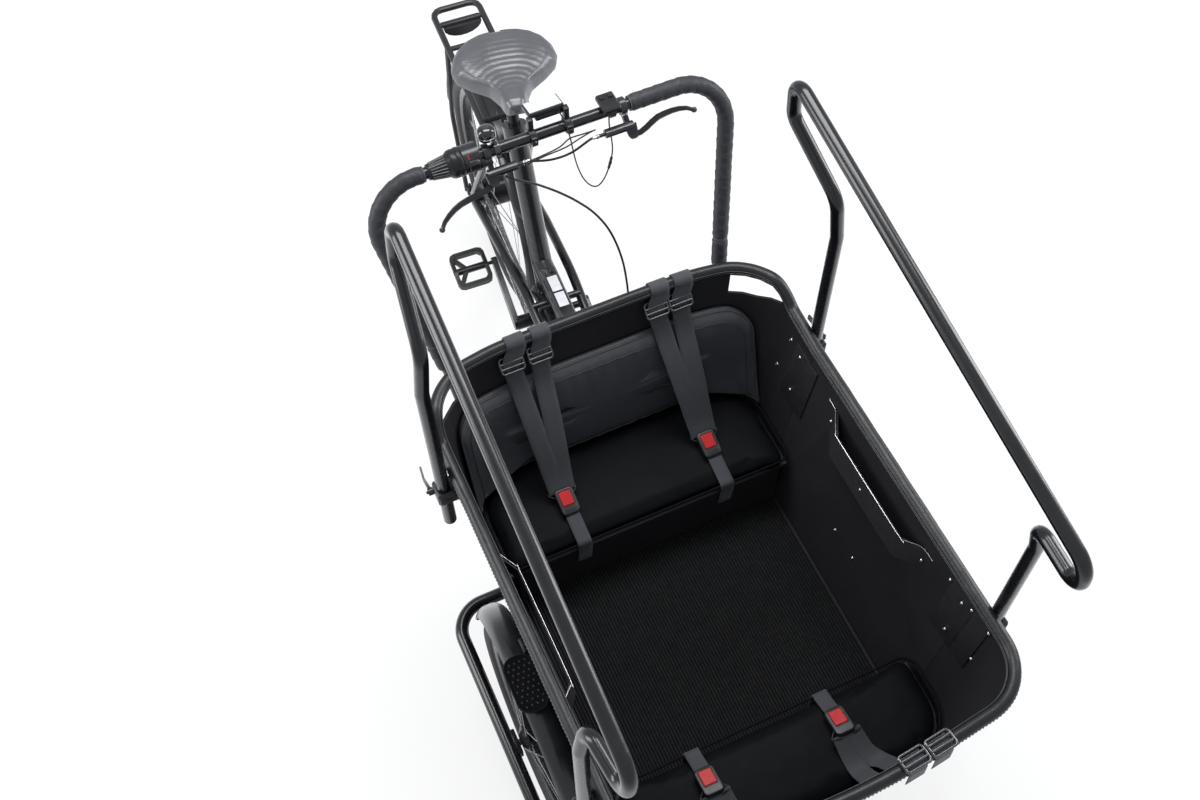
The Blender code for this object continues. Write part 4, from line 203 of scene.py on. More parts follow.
wear, given, result = effect("worn_edges", ("Mask",), Sharpness=0.53, Amount=0.5)
edge = add(wear, "NewGeometry").outputs["Pointiness"]
rub = add(wear, "TexNoise", Vector=add(wear, "TexCoord").outputs["Object"], Scale=90.0, Detail=4.0)
sharp = add(wear, "MapRange", Value=edge, From_Min=given["Sharpness"], From_Max=0.62)
send(wear, result, Mask=times(wear, times(wear, sharp, rub), given["Amount"], True))

dust, given, result = effect("dust", ("Mask",), Amount=0.2)
facing_up = add(dust, "SeparateXYZ", Vector=add(dust, "NewGeometry").outputs["Normal"]).outputs["Z"]
specks = add(dust, "TexNoise", Vector=add(dust, "TexCoord").outputs["Object"], Scale=35.0, Detail=6.0, Roughness=0.7)
level = add(dust, "MapRange", Value=facing_up, From_Min=0.3, From_Max=1.0)
patch = add(dust, "MapRange", Value=specks, From_Min=0.42, From_Max=0.75)
send(dust, result, Mask=times(dust, times(dust, level, patch), given["Amount"], True))

weave, given, result = effect("weave", ("Normal", "Shade"), Along=2400.0, Across=3200.0, Depth=0.5)
waves = []
for label in ("Along", "Across"):
    measure = add(weave, "Attribute", {"attribute_name": label.lower()}).outputs["Fac"]
    waves.append(add(weave, "Math", {"operation": "SINE"}, _0=times(weave, measure, given[label])))
thread = times(weave, *waves)
bumps = add(weave, "Bump", Strength=given["Depth"], Distance=0.0003, Height=thread)
shade = add(weave, "MapRange", Value=thread, From_Min=-1.0, From_Max=1.0, To_Min=0.75, To_Max=1.25)
send(weave, result, Normal=bumps, Shade=shade)
print("shared effects", [group.name for group in bpy.data.node_groups])

# %% [markdown]
# Each finish is one material, with its plain values on the shader and its detail from the groups.

# %% Finishes
FINISH = {}


def used(tree, group, **values):
    new = tree.nodes.new("ShaderNodeGroup")
    new.node_tree = group
    for key, value in values.items():
        new.inputs[key.replace("_", " ")].default_value = value
    return new


def finish(name, colour, roughness, metallic=0.0, fine=(700, 0.2), broad=(20, 0.1), worn=0.3,
           pale=(0.16, 0.16, 0.17), dusty=0.02, coat=0.0, blur=0.08, sheen=0.0, shine=0.5, woven=None):
    new = bpy.data.materials.new(name)
    new.use_nodes = True
    tree = new.node_tree
    shader = tree.nodes["Principled BSDF"]
    for label, value in (("Metallic", metallic), ("Specular IOR Level", shine), ("Coat Weight", coat),
                         ("Coat Roughness", blur), ("Sheen Weight", sheen), ("Sheen Roughness", 0.4)):
        shader.inputs[label].default_value = value
    if woven:
        surface = used(tree, weave, Along=woven[0], Across=woven[1], Depth=woven[2])
    else:
        surface = used(tree, relief, Fine_Scale=fine[0], Fine_Depth=fine[1], Broad_Scale=broad[0], Broad_Depth=broad[1])
    mixed = {"data_type": "RGBA", "blend_type": "MULTIPLY"}
    found = add(tree, "Mix", mixed, _0=1.0, _6=(*colour, 1), _7=surface.outputs["Shade"])
    for mask, tint in ((used(tree, wear, Amount=worn), pale), (used(tree, dust, Amount=dusty), (0.30, 0.29, 0.28))):
        found = add(tree, "Mix", {"data_type": "RGBA"}, _0=mask, _6=found.outputs[2], _7=(*tint, 1))
    rough = times(tree, surface.outputs["Shade"], roughness, True)
    for label, socket in (("Base Color", found.outputs[2]), ("Normal", surface.outputs["Normal"]),
                          ("Roughness", rough.outputs[0])):
        tree.links.new(socket, shader.inputs[label])
    FINISH[name] = new


PAINT = dict(coat=1.0, blur=0.22, worn=0.2)
METAL = dict(fine=(900, 0.1), broad=(50, 0.02))
finish("black_paint", (0.005, 0.0055, 0.0072), 0.30, fine=(250, 0.01), broad=(60, 0.01), shine=0.05, **PAINT)
finish("satin_black_paint", (0.014, 0.014, 0.016), 0.38, fine=(500, 0.08), broad=(60, 0.02))
finish("black_panel", (0.0225, 0.022, 0.025), 0.55, fine=(900, 0.3), broad=(9, 0.03), shine=0.22)
finish("black_vinyl", (0.0052, 0.0056, 0.0068), 0.50, fine=(750, 0.35), broad=(16, 0.25), shine=0.05, worn=0.0,
       dusty=0.005)
finish("rim_vinyl", (0.0065, 0.007, 0.0086), 0.38, fine=(750, 0.25), broad=(40, 0.15), shine=0.45, worn=0.02,
       dusty=0.01)
# The backrest's vinyl is the seats' black vinyl made many times lighter, as painted sheen.
finish("back_vinyl_painted_sheen", (0.060, 0.062, 0.070), 0.36, fine=(750, 0.3), broad=(16, 0.2), worn=0.0, dusty=0.005)
# The saddle's vinyl is made much lighter than the seats' black vinyl, as a painted reflection.
finish("saddle_vinyl_painted_sheen", (0.075, 0.077, 0.086), 0.33, fine=(900, 0.25), broad=(20, 0.03), shine=0.9, worn=0.0, dusty=0.0)
finish("mat_rubber", (0.0055, 0.0058, 0.0065), 0.70, fine=(800, 0.3), broad=(12, 0.05), shine=0.06, dusty=0.015)
finish("tyre_rubber", (0.014, 0.014, 0.015), 0.58, fine=(600, 0.3), broad=(30, 0.05), dusty=0.15)
finish("black_plastic", (0.009, 0.009, 0.010), 0.34, fine=(1100, 0.15), broad=(40, 0.02), shine=0.35)
finish("gloss_black_plastic", (0.006, 0.006, 0.008), 0.12, fine=(200, 0.02), broad=(30, 0.02), coat=0.6)
# The webbing's dark grey is raised further as painted light, for the light that falls on upright straps.
finish("black_webbing", (0.058, 0.059, 0.068), 0.62, sheen=0.25, shine=0.25, woven=(2400, 3200, 0.5), worn=0.0,
       dusty=0.01)
finish("red_plastic", (0.50, 0.010, 0.014), 0.34, fine=(900, 0.1), broad=(40, 0.02), shine=0.3, worn=0.0, dusty=0.0)
finish("steel", (0.52, 0.52, 0.54), 0.26, 1.0, pale=(0.7, 0.7, 0.72), **METAL)
finish("dark_metal", (0.020, 0.020, 0.023), 0.26, 0.5, pale=(0.35, 0.35, 0.36), **METAL)
finish("bar_tape", (0.030, 0.031, 0.036), 0.50, fine=(600, 0.4), broad=(90, 0.35), shine=0.35, worn=0.9,
       pale=(0.34, 0.34, 0.37))
finish("pale_label", (0.62, 0.63, 0.66), 0.40, fine=(900, 0.1), broad=(40, 0.02))
finish("polished", (0.75, 0.75, 0.77), 0.14, 1.0, fine=(900, 0.05), broad=(50, 0.02), pale=(0.8, 0.8, 0.8))
finish("guard_plastic", (0.007, 0.0075, 0.009), 0.30, fine=(200, 0.01), broad=(30, 0.01), shine=0.10, **PAINT)
finish("slide_metal", (0.030, 0.030, 0.034), 0.20, 0.3, fine=(200, 0.01), broad=(30, 0.01), shine=0.9, coat=0.6)
finish("screen_glass", (0.62, 0.64, 0.68), 0.10, fine=(200, 0.0), broad=(30, 0.01), coat=0.8, worn=0.0)
print("finishes", len(FINISH))


# %% [markdown]
# New pieces come from a few makers. A mesh goes onto a body and takes over the plain nodes it stands
# for. A hard node's own mesh is merged, rounded and shaded.

# %% Makers of pieces
OWNER = {node: body for body, members in frame["record"]["behaviour"]["bodies"].items() for node in members}
REAR_BODIES = {"rear", "wheel_rear", "crank", "pedal_left", "pedal_right", "battery", "seat"}


def place_of(body):
    return REAR_PLACE if body in REAR_BODIES else FRONT_PLACE


def settled(new, look, body, takes=()):
    """Gives an object its finish, the body it rides on and the nodes it replaces."""
    bpy.context.scene.collection.objects.link(new)
    new.data.materials.append(FINISH[look])
    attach(new, body)
    if takes:
        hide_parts(*takes)
    return new


def subdivided(new, levels):
    finer = new.modifiers.new("Subdivision", "SUBSURF")
    finer.levels = finer.render_levels = levels


def piece(name, bm, look, body="box", takes=(), sharp=40, bevel=0.0, place=None):
    """A bmesh in the part's own coordinates as a finished piece."""
    bmesh.ops.recalc_face_normals(bm, faces=bm.faces)
    mesh = bpy.data.meshes.new(name)
    bm.to_mesh(mesh)
    bm.free()
    mesh.transform(place or place_of(body))
    mesh.shade_smooth()
    if sharp:
        mesh.set_sharp_from_angle(angle=radians(sharp))
    new = settled(bpy.data.objects.new(name, mesh), look, body, takes)
    if bevel:
        rounding = new.modifiers.new("Bevel", "BEVEL")
        rounding.width = bevel
        rounding.segments = 2
        rounding.limit_method = "ANGLE"
        rounding.angle_limit = radians(40)
    return new


def dressed(node, look, bevel=0.0006, sharp=32):
    """A hard node's own mesh, merged, with its edges rounded."""
    bm = bmesh.new()
    bm.from_mesh(nodes[node].data)
    bmesh.ops.remove_doubles(bm, verts=bm.verts, dist=0.00002)
    bmesh.ops.dissolve_limit(bm, angle_limit=radians(0.5), verts=bm.verts, edges=bm.edges)
    piece(node + "_skin", bm, look, OWNER[node], takes=(node,), sharp=sharp, bevel=bevel, place=Matrix())


def bent_tube(name, points, radius, look, body="box", takes=(), sides=5, closed=False):
    """A round tube as a curve through fine points."""
    curve = bpy.data.curves.new(name, "CURVE")
    curve.dimensions = "3D"
    curve.bevel_depth = radius
    curve.bevel_resolution = sides
    curve.use_fill_caps = True
    spline = curve.splines.new("POLY")
    spline.points.add(len(points) - 1)
    for point, spot in zip(spline.points, points):
        point.co = (*(place_of(body) @ Vector(spot)), 1.0)
    spline.use_cyclic_u = closed
    spline.use_smooth = True
    return settled(bpy.data.objects.new(name, curve), look, body, takes)


# %% [markdown]
# The forms themselves are drawn into a bmesh: sections that run along a route, rings of points joined
# into a closed form, bars, rounded blocks and turned profiles.

# %% Makers of forms
def frames_along(points, level=None, closed=False):
    """A matrix at each point, Z along the route and X across, level or carried on smoothly."""
    points = [Vector(p) for p in points]
    last = len(points) - 1
    found, across = [], None
    for i, spot in enumerate(points):
        if closed:
            ahead = (points[(i + 1) % len(points)] - points[i - 1]).normalized()
        else:
            ahead = (points[min(i + 1, last)] - points[max(i - 1, 0)]).normalized()
        if level:
            across = Vector(level[i])
        elif across is None:
            across = Vector((0, 0, 1)) if abs(ahead.z) < 0.8 else Vector((1, 0, 0))
        across = (across - ahead * across.dot(ahead)).normalized()
        found.append(Matrix.Translation(spot) @ Matrix((across, ahead.cross(across), ahead)).transposed().to_4x4())
    return found


def swept(bm, frames, section, closed=False, growth=None):
    """A closed section extruded through frames, with its length and width kept for the weave."""
    def placed(i, k):
        return frames[i] @ (growth(i, k) if growth else Vector((*section[k], 0)))

    layer = bm.verts.layers.float
    along, across = (layer.get(name) or layer.new(name) for name in ("along", "across"))
    bmesh.ops.create_circle(bm, cap_ends=False, segments=len(section), radius=1.0)
    bm.verts.ensure_lookup_table()
    ring = bm.verts[-len(section):]
    first = current = list({edge for vert in ring for edge in vert.link_edges})
    step = 0.0
    for i in range(len(frames)):
        if i:
            step += (frames[i].translation - frames[i - 1].translation).length
            made = bmesh.ops.extrude_edge_only(bm, edges=current)["geom"]
            fresh = {item for item in made if isinstance(item, bmesh.types.BMVert)}
            current = [item for item in made if isinstance(item, bmesh.types.BMEdge) and fresh.issuperset(item.verts)]
            ring = [next(edge.other_vert(vert) for edge in vert.link_edges if edge.other_vert(vert) in fresh)
                    for vert in ring]
        for k, vert in enumerate(ring):
            vert.co = placed(i, k)
            vert[along] = step
            vert[across] = section[k][0]
    if closed:
        bmesh.ops.bridge_loops(bm, edges=first + current)
    else:
        bmesh.ops.contextual_create(bm, geom=first)
        bmesh.ops.contextual_create(bm, geom=current)


def circle(radius, sides):
    return [(radius * cos(2 * pi * k / sides), radius * sin(2 * pi * k / sides)) for k in range(sides)]


def lofted(rings, bm=None):
    """A closed form through rings with the same count of points."""
    if bm is None:
        bm = bmesh.new()
    swept(bm, [Matrix()] * len(rings), circle(1, len(rings[0])), growth=lambda i, k: rings[i][k])
    return bm


def strap_section(width, thickness):
    """A flat section with rounded edges."""
    half, edge = width / 2 - thickness / 2, thickness / 2
    right = [(half + edge * cos(a), edge * sin(a)) for a in (-1.2, -0.5, 0.5, 1.2)]
    left = [(-x, y) for x, y in reversed(right)]
    top = [(half * s, edge) for s in (0.5, 0.0, -0.5)]
    return right + top + left + [(-x, -y) for x, y in top]


def facing(spot, way):
    """A place with its Z along a direction."""
    return Matrix.Translation(spot) @ Vector(way).to_track_quat("Z", "Y").to_matrix().to_4x4()


def turned_to(at, x=0.0, y=0.0, z=0.0):
    """A place with turns in degrees about X, then Y, then Z."""
    return (Matrix.Translation(Vector(at)) @ Matrix.Rotation(radians(z), 4, "Z") @ Matrix.Rotation(radians(y), 4, "Y")
            @ Matrix.Rotation(radians(x), 4, "X"))


def rod_in(bm, start, end, radius, sides=20):
    """A straight round bar in a bmesh."""
    start, end = Vector(start), Vector(end)
    bmesh.ops.create_cone(bm, cap_ends=True, segments=sides, radius1=radius, radius2=radius,
                          depth=(end - start).length, matrix=facing((start + end) / 2, end - start))


def block_in(bm, size, place, bevel=0.0, segments=2):
    """A box with rounded edges in a bmesh, at a point or a matrix."""
    before = set(bm.verts)
    made = bmesh.ops.create_cube(bm, size=1.0)["verts"]
    bmesh.ops.scale(bm, vec=Vector(size), verts=made)
    if bevel:
        edges = list({edge for vert in made for edge in vert.link_edges})
        bmesh.ops.bevel(bm, geom=edges, offset=bevel, segments=segments, profile=0.5, affect="EDGES", material=-1)
    matrix = place if isinstance(place, Matrix) else Matrix.Translation(place)
    bmesh.ops.transform(bm, matrix=matrix, verts=[vert for vert in bm.verts if vert not in before])


def lathe_in(bm, profile, matrix, steps=48, ring=False):
    """A profile of radius and height turned about Z, in a bmesh. A ring's profile is closed."""
    before = set(bm.verts)
    made = [bm.verts.new((radius, 0, height)) for radius, height in profile]
    edges = [bm.edges.new(pair) for pair in zip(made, made[1:] + made[:1] if ring else made[1:])]
    bmesh.ops.spin(bm, geom=made + edges, cent=(0, 0, 0), axis=(0, 0, 1), angle=2 * pi, steps=steps, use_merge=True)
    bmesh.ops.transform(bm, matrix=matrix, verts=[vert for vert in bm.verts if vert not in before])


def ring_in(bm, profile, matrix, steps=72):
    lathe_in(bm, profile, matrix, steps, True)


# %% [markdown]
# Routes and the box's outline follow the construction's own sizes: straight runs with round bends,
# smooth curves through points, and the walls' middle line from the floor to the rim.

# %% Routes
def mix(a, b, t):
    return a + (b - a) * t


def smooth(t):
    t = min(max(t, 0.0), 1.0)
    return t * t * (3 - 2 * t)


def mirrored(side, points):
    return [(side * x, y, z) for x, y, z in points]


def length_of(points):
    return sum((b - a).length for a, b in zip(points, points[1:]))


def corner_arc(before, corner, after, radius, count):
    before, corner, after = Vector(before), Vector(corner), Vector(after)
    a = (before - corner).normalized()
    b = (after - corner).normalized()
    half = a.angle(b) / 2
    centre = corner + (a + b).normalized() * (radius / sin(half))
    start = corner + a * radius / tan(half) - centre
    end = corner + b * radius / tan(half) - centre
    sweep = start.angle(end)
    return [centre + start * (sin((1 - t) * sweep) / sin(sweep)) + end * (sin(t * sweep) / sin(sweep))
            for t in (n / (count - 1) for n in range(count))]


def bent(points, radius, step=5.0):
    """A route of straight runs with round bends."""
    points = [Vector(p) for p in points]
    radii = radius if isinstance(radius, (list, tuple)) else [radius] * (len(points) - 2)
    route = [points[0]]
    for before, here, after, bend in zip(points, points[1:], points[2:], radii):
        turn = pi - (before - here).angle(after - here)
        route += corner_arc(before, here, after, bend, max(3, int(round(turn / radians(step))) + 1))
    return route + [points[-1]]


def even(points, spacing, closed=False):
    """Points at even steps on straight runs between the given ones."""
    points = [Vector(p) for p in points]
    ring = points + points[:1] if closed else points
    total = length_of(ring)
    count = max(2, int(round(total / spacing)))
    found, walked = [], 0.0
    for a, b in zip(ring, ring[1:]):
        run = (b - a).length
        while len(found) < count and len(found) * total / count <= walked + run + 1e-9:
            found.append(a.lerp(b, (len(found) * total / count - walked) / run))
        walked += run
    return found if closed else found + [points[-1]]


def smooth_route(points, spacing):
    """Evenly spaced points on a smooth curve through the given ones."""
    points = [Vector(p) for p in points]
    ends = [points[0] * 2 - points[1]] + points + [points[-1] * 2 - points[-2]]
    fine = []
    for a, b, c, d in zip(ends, ends[1:], ends[2:], ends[3:]):
        for t in (n / 24 for n in range(24)):
            fine.append(0.5 * (2 * b + (c - a) * t + (2 * a - 5 * b + 4 * c - d) * t * t
                               + (3 * b - a - 3 * c + d) * t ** 3))
    return even(fine + [points[-1]], spacing)


def rounded_rectangle(width, height, radius, count, y=0.0, z=0.0):
    """A closed outline with round corners."""
    corners = [Vector((sx * width / 2, y + sy * height / 2, z)) for sx, sy in ((1, 1), (-1, 1), (-1, -1), (1, -1))]
    return [p for i in range(4) for p in corner_arc(corners[i - 1], corners[i], corners[(i + 1) % 4], radius, count)]


def softened(outline, radius):
    """An outline with its sharp corners rounded."""
    found = []
    for before, here, after in zip(outline[-1:] + outline, outline, outline[1:] + outline[:1]):
        sharp = (here - before).angle(after - here) > radians(50)
        found += corner_arc(before, here, after, radius, 7) if sharp else [here]
    return found


def drawn_in(outline, distance):
    """An outline scaled about its middle, so that its outer box moves inwards by a distance."""
    xs, ys = [p.x for p in outline], [p.y for p in outline]
    centre = Vector(((min(xs) + max(xs)) / 2, (min(ys) + max(ys)) / 2))
    wide, deep = 1 - 2 * distance / (max(xs) - min(xs)), 1 - 2 * distance / (max(ys) - min(ys))
    return [centre + Vector(((p.x - centre.x) * wide, (p.y - centre.y) * deep)) for p in outline]


def inset_ring(outline, distance):
    """A closed outline moved inwards by a distance."""
    after = outline[1:] + outline[:1]
    sign = 1 if sum(a.x * b.y - b.x * a.y for a, b in zip(outline, after)) > 0 else -1
    found = []
    for before, here, ahead in zip(outline[-1:] + outline, outline, after):
        a, b = (here - before).normalized(), (ahead - here).normalized()
        na, nb = Vector((-a.y, a.x)) * sign, Vector((-b.y, b.x)) * sign
        normal = (na + nb).normalized()
        found.append(here + normal * distance / max(0.5, normal.dot(na)))
    return found


def crossings(line, axis, value):
    """The points where a closed line crosses a value of x (axis 0) or of y (axis 1)."""
    return [a.lerp(b, (value - a[axis]) / (b[axis] - a[axis])) for a, b in zip(line, line[1:] + line[:1])
            if a[axis] != b[axis] and min(a[axis], b[axis]) <= value <= max(a[axis], b[axis])]


def trimmed(outline, edge_y, keep):
    """The part of an outline behind (1) or before (-1) a line across."""
    found = []
    for a, b in zip(outline, outline[1:] + outline[:1]):
        if (a.y - edge_y) * keep >= 0:
            found.append(a)
        if (a.y - edge_y) * (b.y - edge_y) < 0:
            found.append(a.lerp(b, (edge_y - a.y) / (b.y - a.y)))
    return found


# %% [markdown]
# The box narrows towards its floor. Its outline is given on one side from front to rear, at the floor and
# at the rim, and any height between them is a share of the two.

# %% Outline of the box
WALL = 0.006
FLOOR_HALF, RIM_HALF, RIM_REAR_HALF = 0.3016, 0.363, 0.366
WALL_FOOT, RIM_LEVEL, RIM_RADIUS, SLOT_DROP = 0.2858, 0.758, 0.012, 0.008
LIP_START = RIM_LEVEL - RIM_RADIUS - SLOT_DROP
WALL_TILT = atan2(RIM_HALF - FLOOR_HALF, LIP_START - WALL_FOOT)


def half_outline(t, fine=1):
    """The wall's middle line on the +X side, front to rear, at the floor (0) to the rim (1)."""
    width, rear_width = mix(FLOOR_HALF, RIM_HALF, t), mix(FLOOR_HALF, RIM_REAR_HALF, t)
    front, front_corner = mix(-0.430, -0.5165, t), mix(-0.420, -0.4715, t)
    rear, rear_corner = mix(0.430, 0.500, t), mix(0.426, 0.474, t)
    nose = corner_arc((-width, front_corner), (0, front), (width, front_corner), 1.30, 4 * fine + 1)[2 * fine:]
    front_bend = corner_arc((0, front), (width, front_corner), (width, 0), mix(0.090, 0.100, t), 5 * fine + 1)
    rear_bend = corner_arc((width, 0.265), (rear_width, rear_corner), (0.200, rear), mix(0.090, 0.125, t), 6 * fine + 1)
    tail = corner_arc((rear_width, rear_corner), (0.200, rear), (0, rear), 0.50, 2 * fine + 1)
    straight = [Vector((width, -0.300)), Vector((width, 0.265))]
    return nose + front_bend + straight + rear_bend + tail + [Vector((0, rear))]


def rim_height(y):
    return RIM_LEVEL + 0.041 * smooth((y - 0.345) / 0.085)


def outline_at(z, inset, known={}):
    """The closed outline of the walls' middle line at a height, moved inwards."""
    key = (round(z, 4), inset)
    if key not in known:
        right = [low.lerp(high, (z - WALL_FOOT) / (rim_height(high.y) - RIM_RADIUS - SLOT_DROP - WALL_FOOT))
                 for low, high in zip(half_outline(0.0), half_outline(1.0))]
        known[key] = inset_ring(right + [Vector((-p.x, p.y)) for p in reversed(right[1:-1])], inset)
    return known[key]


def wall_x(z):
    return mix(FLOOR_HALF, RIM_HALF, (z - WALL_FOOT) / (LIP_START - WALL_FOOT))


def end_wall_y(x, z, inset, end):
    """The y of the rear (1) or front (-1) wall at a place across and a height, moved inwards."""
    return end * max(end * p.y for p in crossings(outline_at(z, inset), 0, x))


RIM_LINE = half_outline(1.0)


def rim_spot(x, rear):
    """The y and height of the rim's middle line at a place across the front or the rear."""
    y = (max if rear else min)(p.y for p in crossings(RIM_LINE, 0, abs(x)))
    return y, rim_height(y)


def rim_slope(x, rear):
    """The direction of the rim at a place across the front or the rear."""
    return Vector((1, (rim_spot(x + 0.015, rear)[0] - rim_spot(x - 0.015, rear)[0]) / 0.030, 0)).normalized()


print("wall tilt", round(degrees(WALL_TILT), 2), "rim points", len(RIM_LINE))


# %% [markdown]
# The display's lead and the brake hoses hang on routes that the construction settled, so they come
# before the other pieces. The brake levers lie in a plane that leans forward and down from the bar.

# %% Cords
TILT = radians(40)
DOWN = Vector((0, -cos(TILT), -sin(TILT)))
ACROSS = Vector((0, -sin(TILT), cos(TILT)))
ALONG = Vector((1, 0, 0))
BAR_Y, BAR_Z = 0.683, 1.120
HOSE, LEAD = 0.0044, 0.0028


def in_plane(x, out, up=0.0):
    """A point of the levers' plane: a place along the bar, a distance from it and a height over it."""
    return Vector((x, BAR_Y, BAR_Z)) + DOWN * out + ACROSS * up


def corded(name, points, diameter, takes):
    """A hose or lead that leaves one fitting and ends in another."""
    route = smooth_route(points, 0.004)
    new = bent_tube(name, route, diameter / 2, "black_plastic", takes=takes, sides=4)
    print(name, "length", round(length_of(route), 4))
    return route


long_end = in_plane(-0.120 + 0.0583, 0.038, 0.001)
short_end = in_plane(0.144 - 0.0583, 0.038, 0.001)
low_y = end_wall_y(0.08, 0.45, -WALL / 2, 1) + 0.006
corded("brake_hose_long", [
    (-0.060, 0.633, 1.064), (-0.042, 0.620, 1.059), (-0.017, 0.600, 1.050), (0.009, 0.580, 1.034),
    (0.036, 0.562, 1.005), (0.060, 0.548, 0.955), (0.078, 0.538, 0.880), (0.086, 0.530, 0.800),
    (0.087, 0.522, 0.720), (0.083, low_y + 0.026, 0.560), (0.080, low_y, 0.420), (0.078, low_y - 0.020, 0.310)],
    HOSE, ("brake_hoses",))
corded("brake_hose_short", [
    short_end - ALONG * 0.003, short_end - ALONG * 0.016, (0.030, 0.6505, 1.082), (-0.010, 0.649, 1.084),
    long_end + ALONG * 0.007], HOSE, ("brake_hoses",))
hose_start = [(-0.098, 0.6535, 1.078), (-0.088, 0.648, 1.072), (-0.074, 0.640, 1.067), (-0.0605, 0.6333, 1.0641)]
bent_tube("hose_start", smooth_route(hose_start, 0.003), HOSE / 2, "black_plastic",
          takes=("brake_mount_right",), sides=4)
for n, points in enumerate((
        [(-0.060, 0.648, 1.100), (-0.020, 0.650, 1.102), (0.0096, 0.6525, 1.105), (0.031, 0.659, 1.110),
         (0.058, 0.663, 1.105), (0.082, 0.665, 1.102)],
        [(-0.060, 0.652, 1.090), (-0.018, 0.654, 1.093), (0.020, 0.653, 1.098), (0.048, 0.656, 1.104),
         (0.070, 0.660, 1.106), (0.084, 0.664, 1.104)])):
    corded("control_cable_%d" % n, points, LEAD, ("brake_hoses",))
bm = bmesh.new()
for start, way in ((long_end, 1), (short_end, -1)):
    rod_in(bm, start, start + ALONG * way * 0.012, 0.0032, 16)
    rod_in(bm, start + ALONG * way * 0.001, start + ALONG * way * 0.005, 0.0040, 6)
piece("hose_ferrules", bm, "polished", takes=("brake_hoses",))

SCREEN = radians(-32)
screen_at = Vector((0.0035, BAR_Y + 0.028, BAR_Z + 0.035))
screen_forward = Vector((0, -cos(SCREEN), -sin(SCREEN)))
screen_down = Vector((0, -screen_forward.z, screen_forward.y))
lead_start = screen_at + Vector((0.022, 0, 0)) + screen_forward * 0.0175 + screen_down * 0.0069
lead_end = Vector((0.112, BAR_Y - 0.0175, BAR_Z + 0.0126))
lead = corded("display_cord", [
    lead_start, lead_start + screen_down * 0.005, (0.028, 0.672, 1.143), (0.033, 0.663, 1.114), (0.046, 0.665, 1.027),
    (0.063, 0.665, 0.972), (0.085, 0.665, 0.948), (0.104, 0.664, 0.973), (0.1165, 0.6625, 1.034),
    lead_end - Vector((0, 0, 0.030)), lead_end], LEAD, ("display_lead",))
bm = bmesh.new()
spot = lead.index(min(lead, key=lambda p: abs(p.z - 1.000) + (0 if p.x > 0.08 else 9)))
rod_in(bm, lead[spot - 3], lead[spot + 4], 0.0027, 16)
rod_in(bm, lead[spot], lead[spot + 1], 0.0032, 16)
piece("display_cord_joint", bm, "black_plastic", takes=("display_lead",))


# %% [markdown]
# Hard nodes keep their own shape. Their meshes are merged, their edges rounded a little, and each gets
# its finish. Pieces whose plain form is too coarse for the picture are modelled in later cells.

# %% Hard nodes
for look, bevel, sharp, names in (
        ("black_panel", 0.0006, 32, "panel_front panel_rear panel_left panel_right bench_front bench_rear floor_panel"),
        ("black_plastic", 0.0006, 32, "rail_clamp_left rail_clamp_right button_pad button_up button_down pedal_left "
                                      "pedal_right"),
        ("gloss_black_plastic", 0.0008, 32, "battery"),
        ("dark_metal", 0.0004, 32, "clamp_lever_left clamp_lever_right brake_mount_left brake_mount_right crankset "
                                   "seat_post"),
        ("dark_metal", 0.0008, 50, "brake_lever_left brake_lever_right"),
        ("red_plastic", 0.0012, 32, "buckle_button_front_left buckle_button_front_right buckle_button_rear_left "
                                    "buckle_button_rear_right"),
        ("satin_black_paint", 0.0006, 45, "rack"),
        ("steel", 0.0002, 32, "chain")):
    for node in names.split():
        dressed(node, look, bevel, sharp)
    print(look, names)


# %% [markdown]
# The rim is a soft tube over the walls' top edges. It runs as a section open below, so the walls can
# stand in it. Its outer lower band is gathered, and two fine seams run along its inner side, lighter than
# the rim as painted highlight lines.

# %% Rim
rim_line = [(p.x, p.y, rim_height(p.y)) for p in half_outline(1.0, 4)]
rim_line += mirrored(-1, reversed(rim_line[1:-1]))
rim_route = even(rim_line, 0.0022, True)
for turn in range(15):
    rim_route = [(a + b * 2 + c) / 4 for a, b, c in zip(rim_route[-1:] + rim_route, rim_route,
                                                        rim_route[1:] + rim_route[:1])]
out = [(c - a).cross(Vector((0, 0, 1))).normalized() for a, c in zip(rim_route[-1:] + rim_route,
                                                                     rim_route[1:] + rim_route[:1])]
opening, arc_points = radians(19.0), 26
section = [(RIM_RADIUS * sin(a), -RIM_RADIUS * cos(a))
           for a in (opening + (2 * pi - 2 * opening) * k / (arc_points - 1) for k in range(arc_points))]
section += [(-0.0038, 0.0042), (0.0038, 0.0042)]


def rim_point(i, k):
    x, y = section[k]
    if k >= arc_points:
        return Vector((x, y, 0))
    turned = atan2(y, -x)
    band = smooth((turned + 1.45) / 0.3) * smooth((0.25 - turned) / 0.3)
    pleat = sin(i * 2 * pi / 3.3 + 1.5 * noise.noise(rim_route[i] * 9)) * 0.0011 * band
    lump = noise.noise(rim_route[i] * 22 + Vector((0, 0, k * 0.15))) * 0.0005
    grow = 1 + (pleat + lump) / RIM_RADIUS
    return Vector((x * grow, y * grow, 0))


bm = bmesh.new()
swept(bm, frames_along(rim_route, [-o for o in out], closed=True), section, closed=True, growth=rim_point)
rim = piece("rim_cover", bm, "rim_vinyl", takes=("rim_wrap",), sharp=70)
# Both seams take the backrest's lighter vinyl: painted highlight lines along the rim's inner side.
for shift, name in ((0.30, "rim_seam_upper"), (-0.05, "rim_seam_lower")):
    seam = [p - o * cos(shift) * 0.0123 + Vector((0, 0, sin(shift) * 0.0123)) for p, o in zip(rim_route, out)]
    bent_tube(name, seam[::4], 0.0007, "back_vinyl_painted_sheen", takes=("rim_wrap",), sides=2, closed=True)
print("rim points", len(rim_route))

# %% [markdown]
# The seat cushions start as crowned forms that follow the walls, a little small. They are remeshed and
# blown up as cloth with their growth capped, so that they sit full between the walls. Then piping
# runs round their edge.

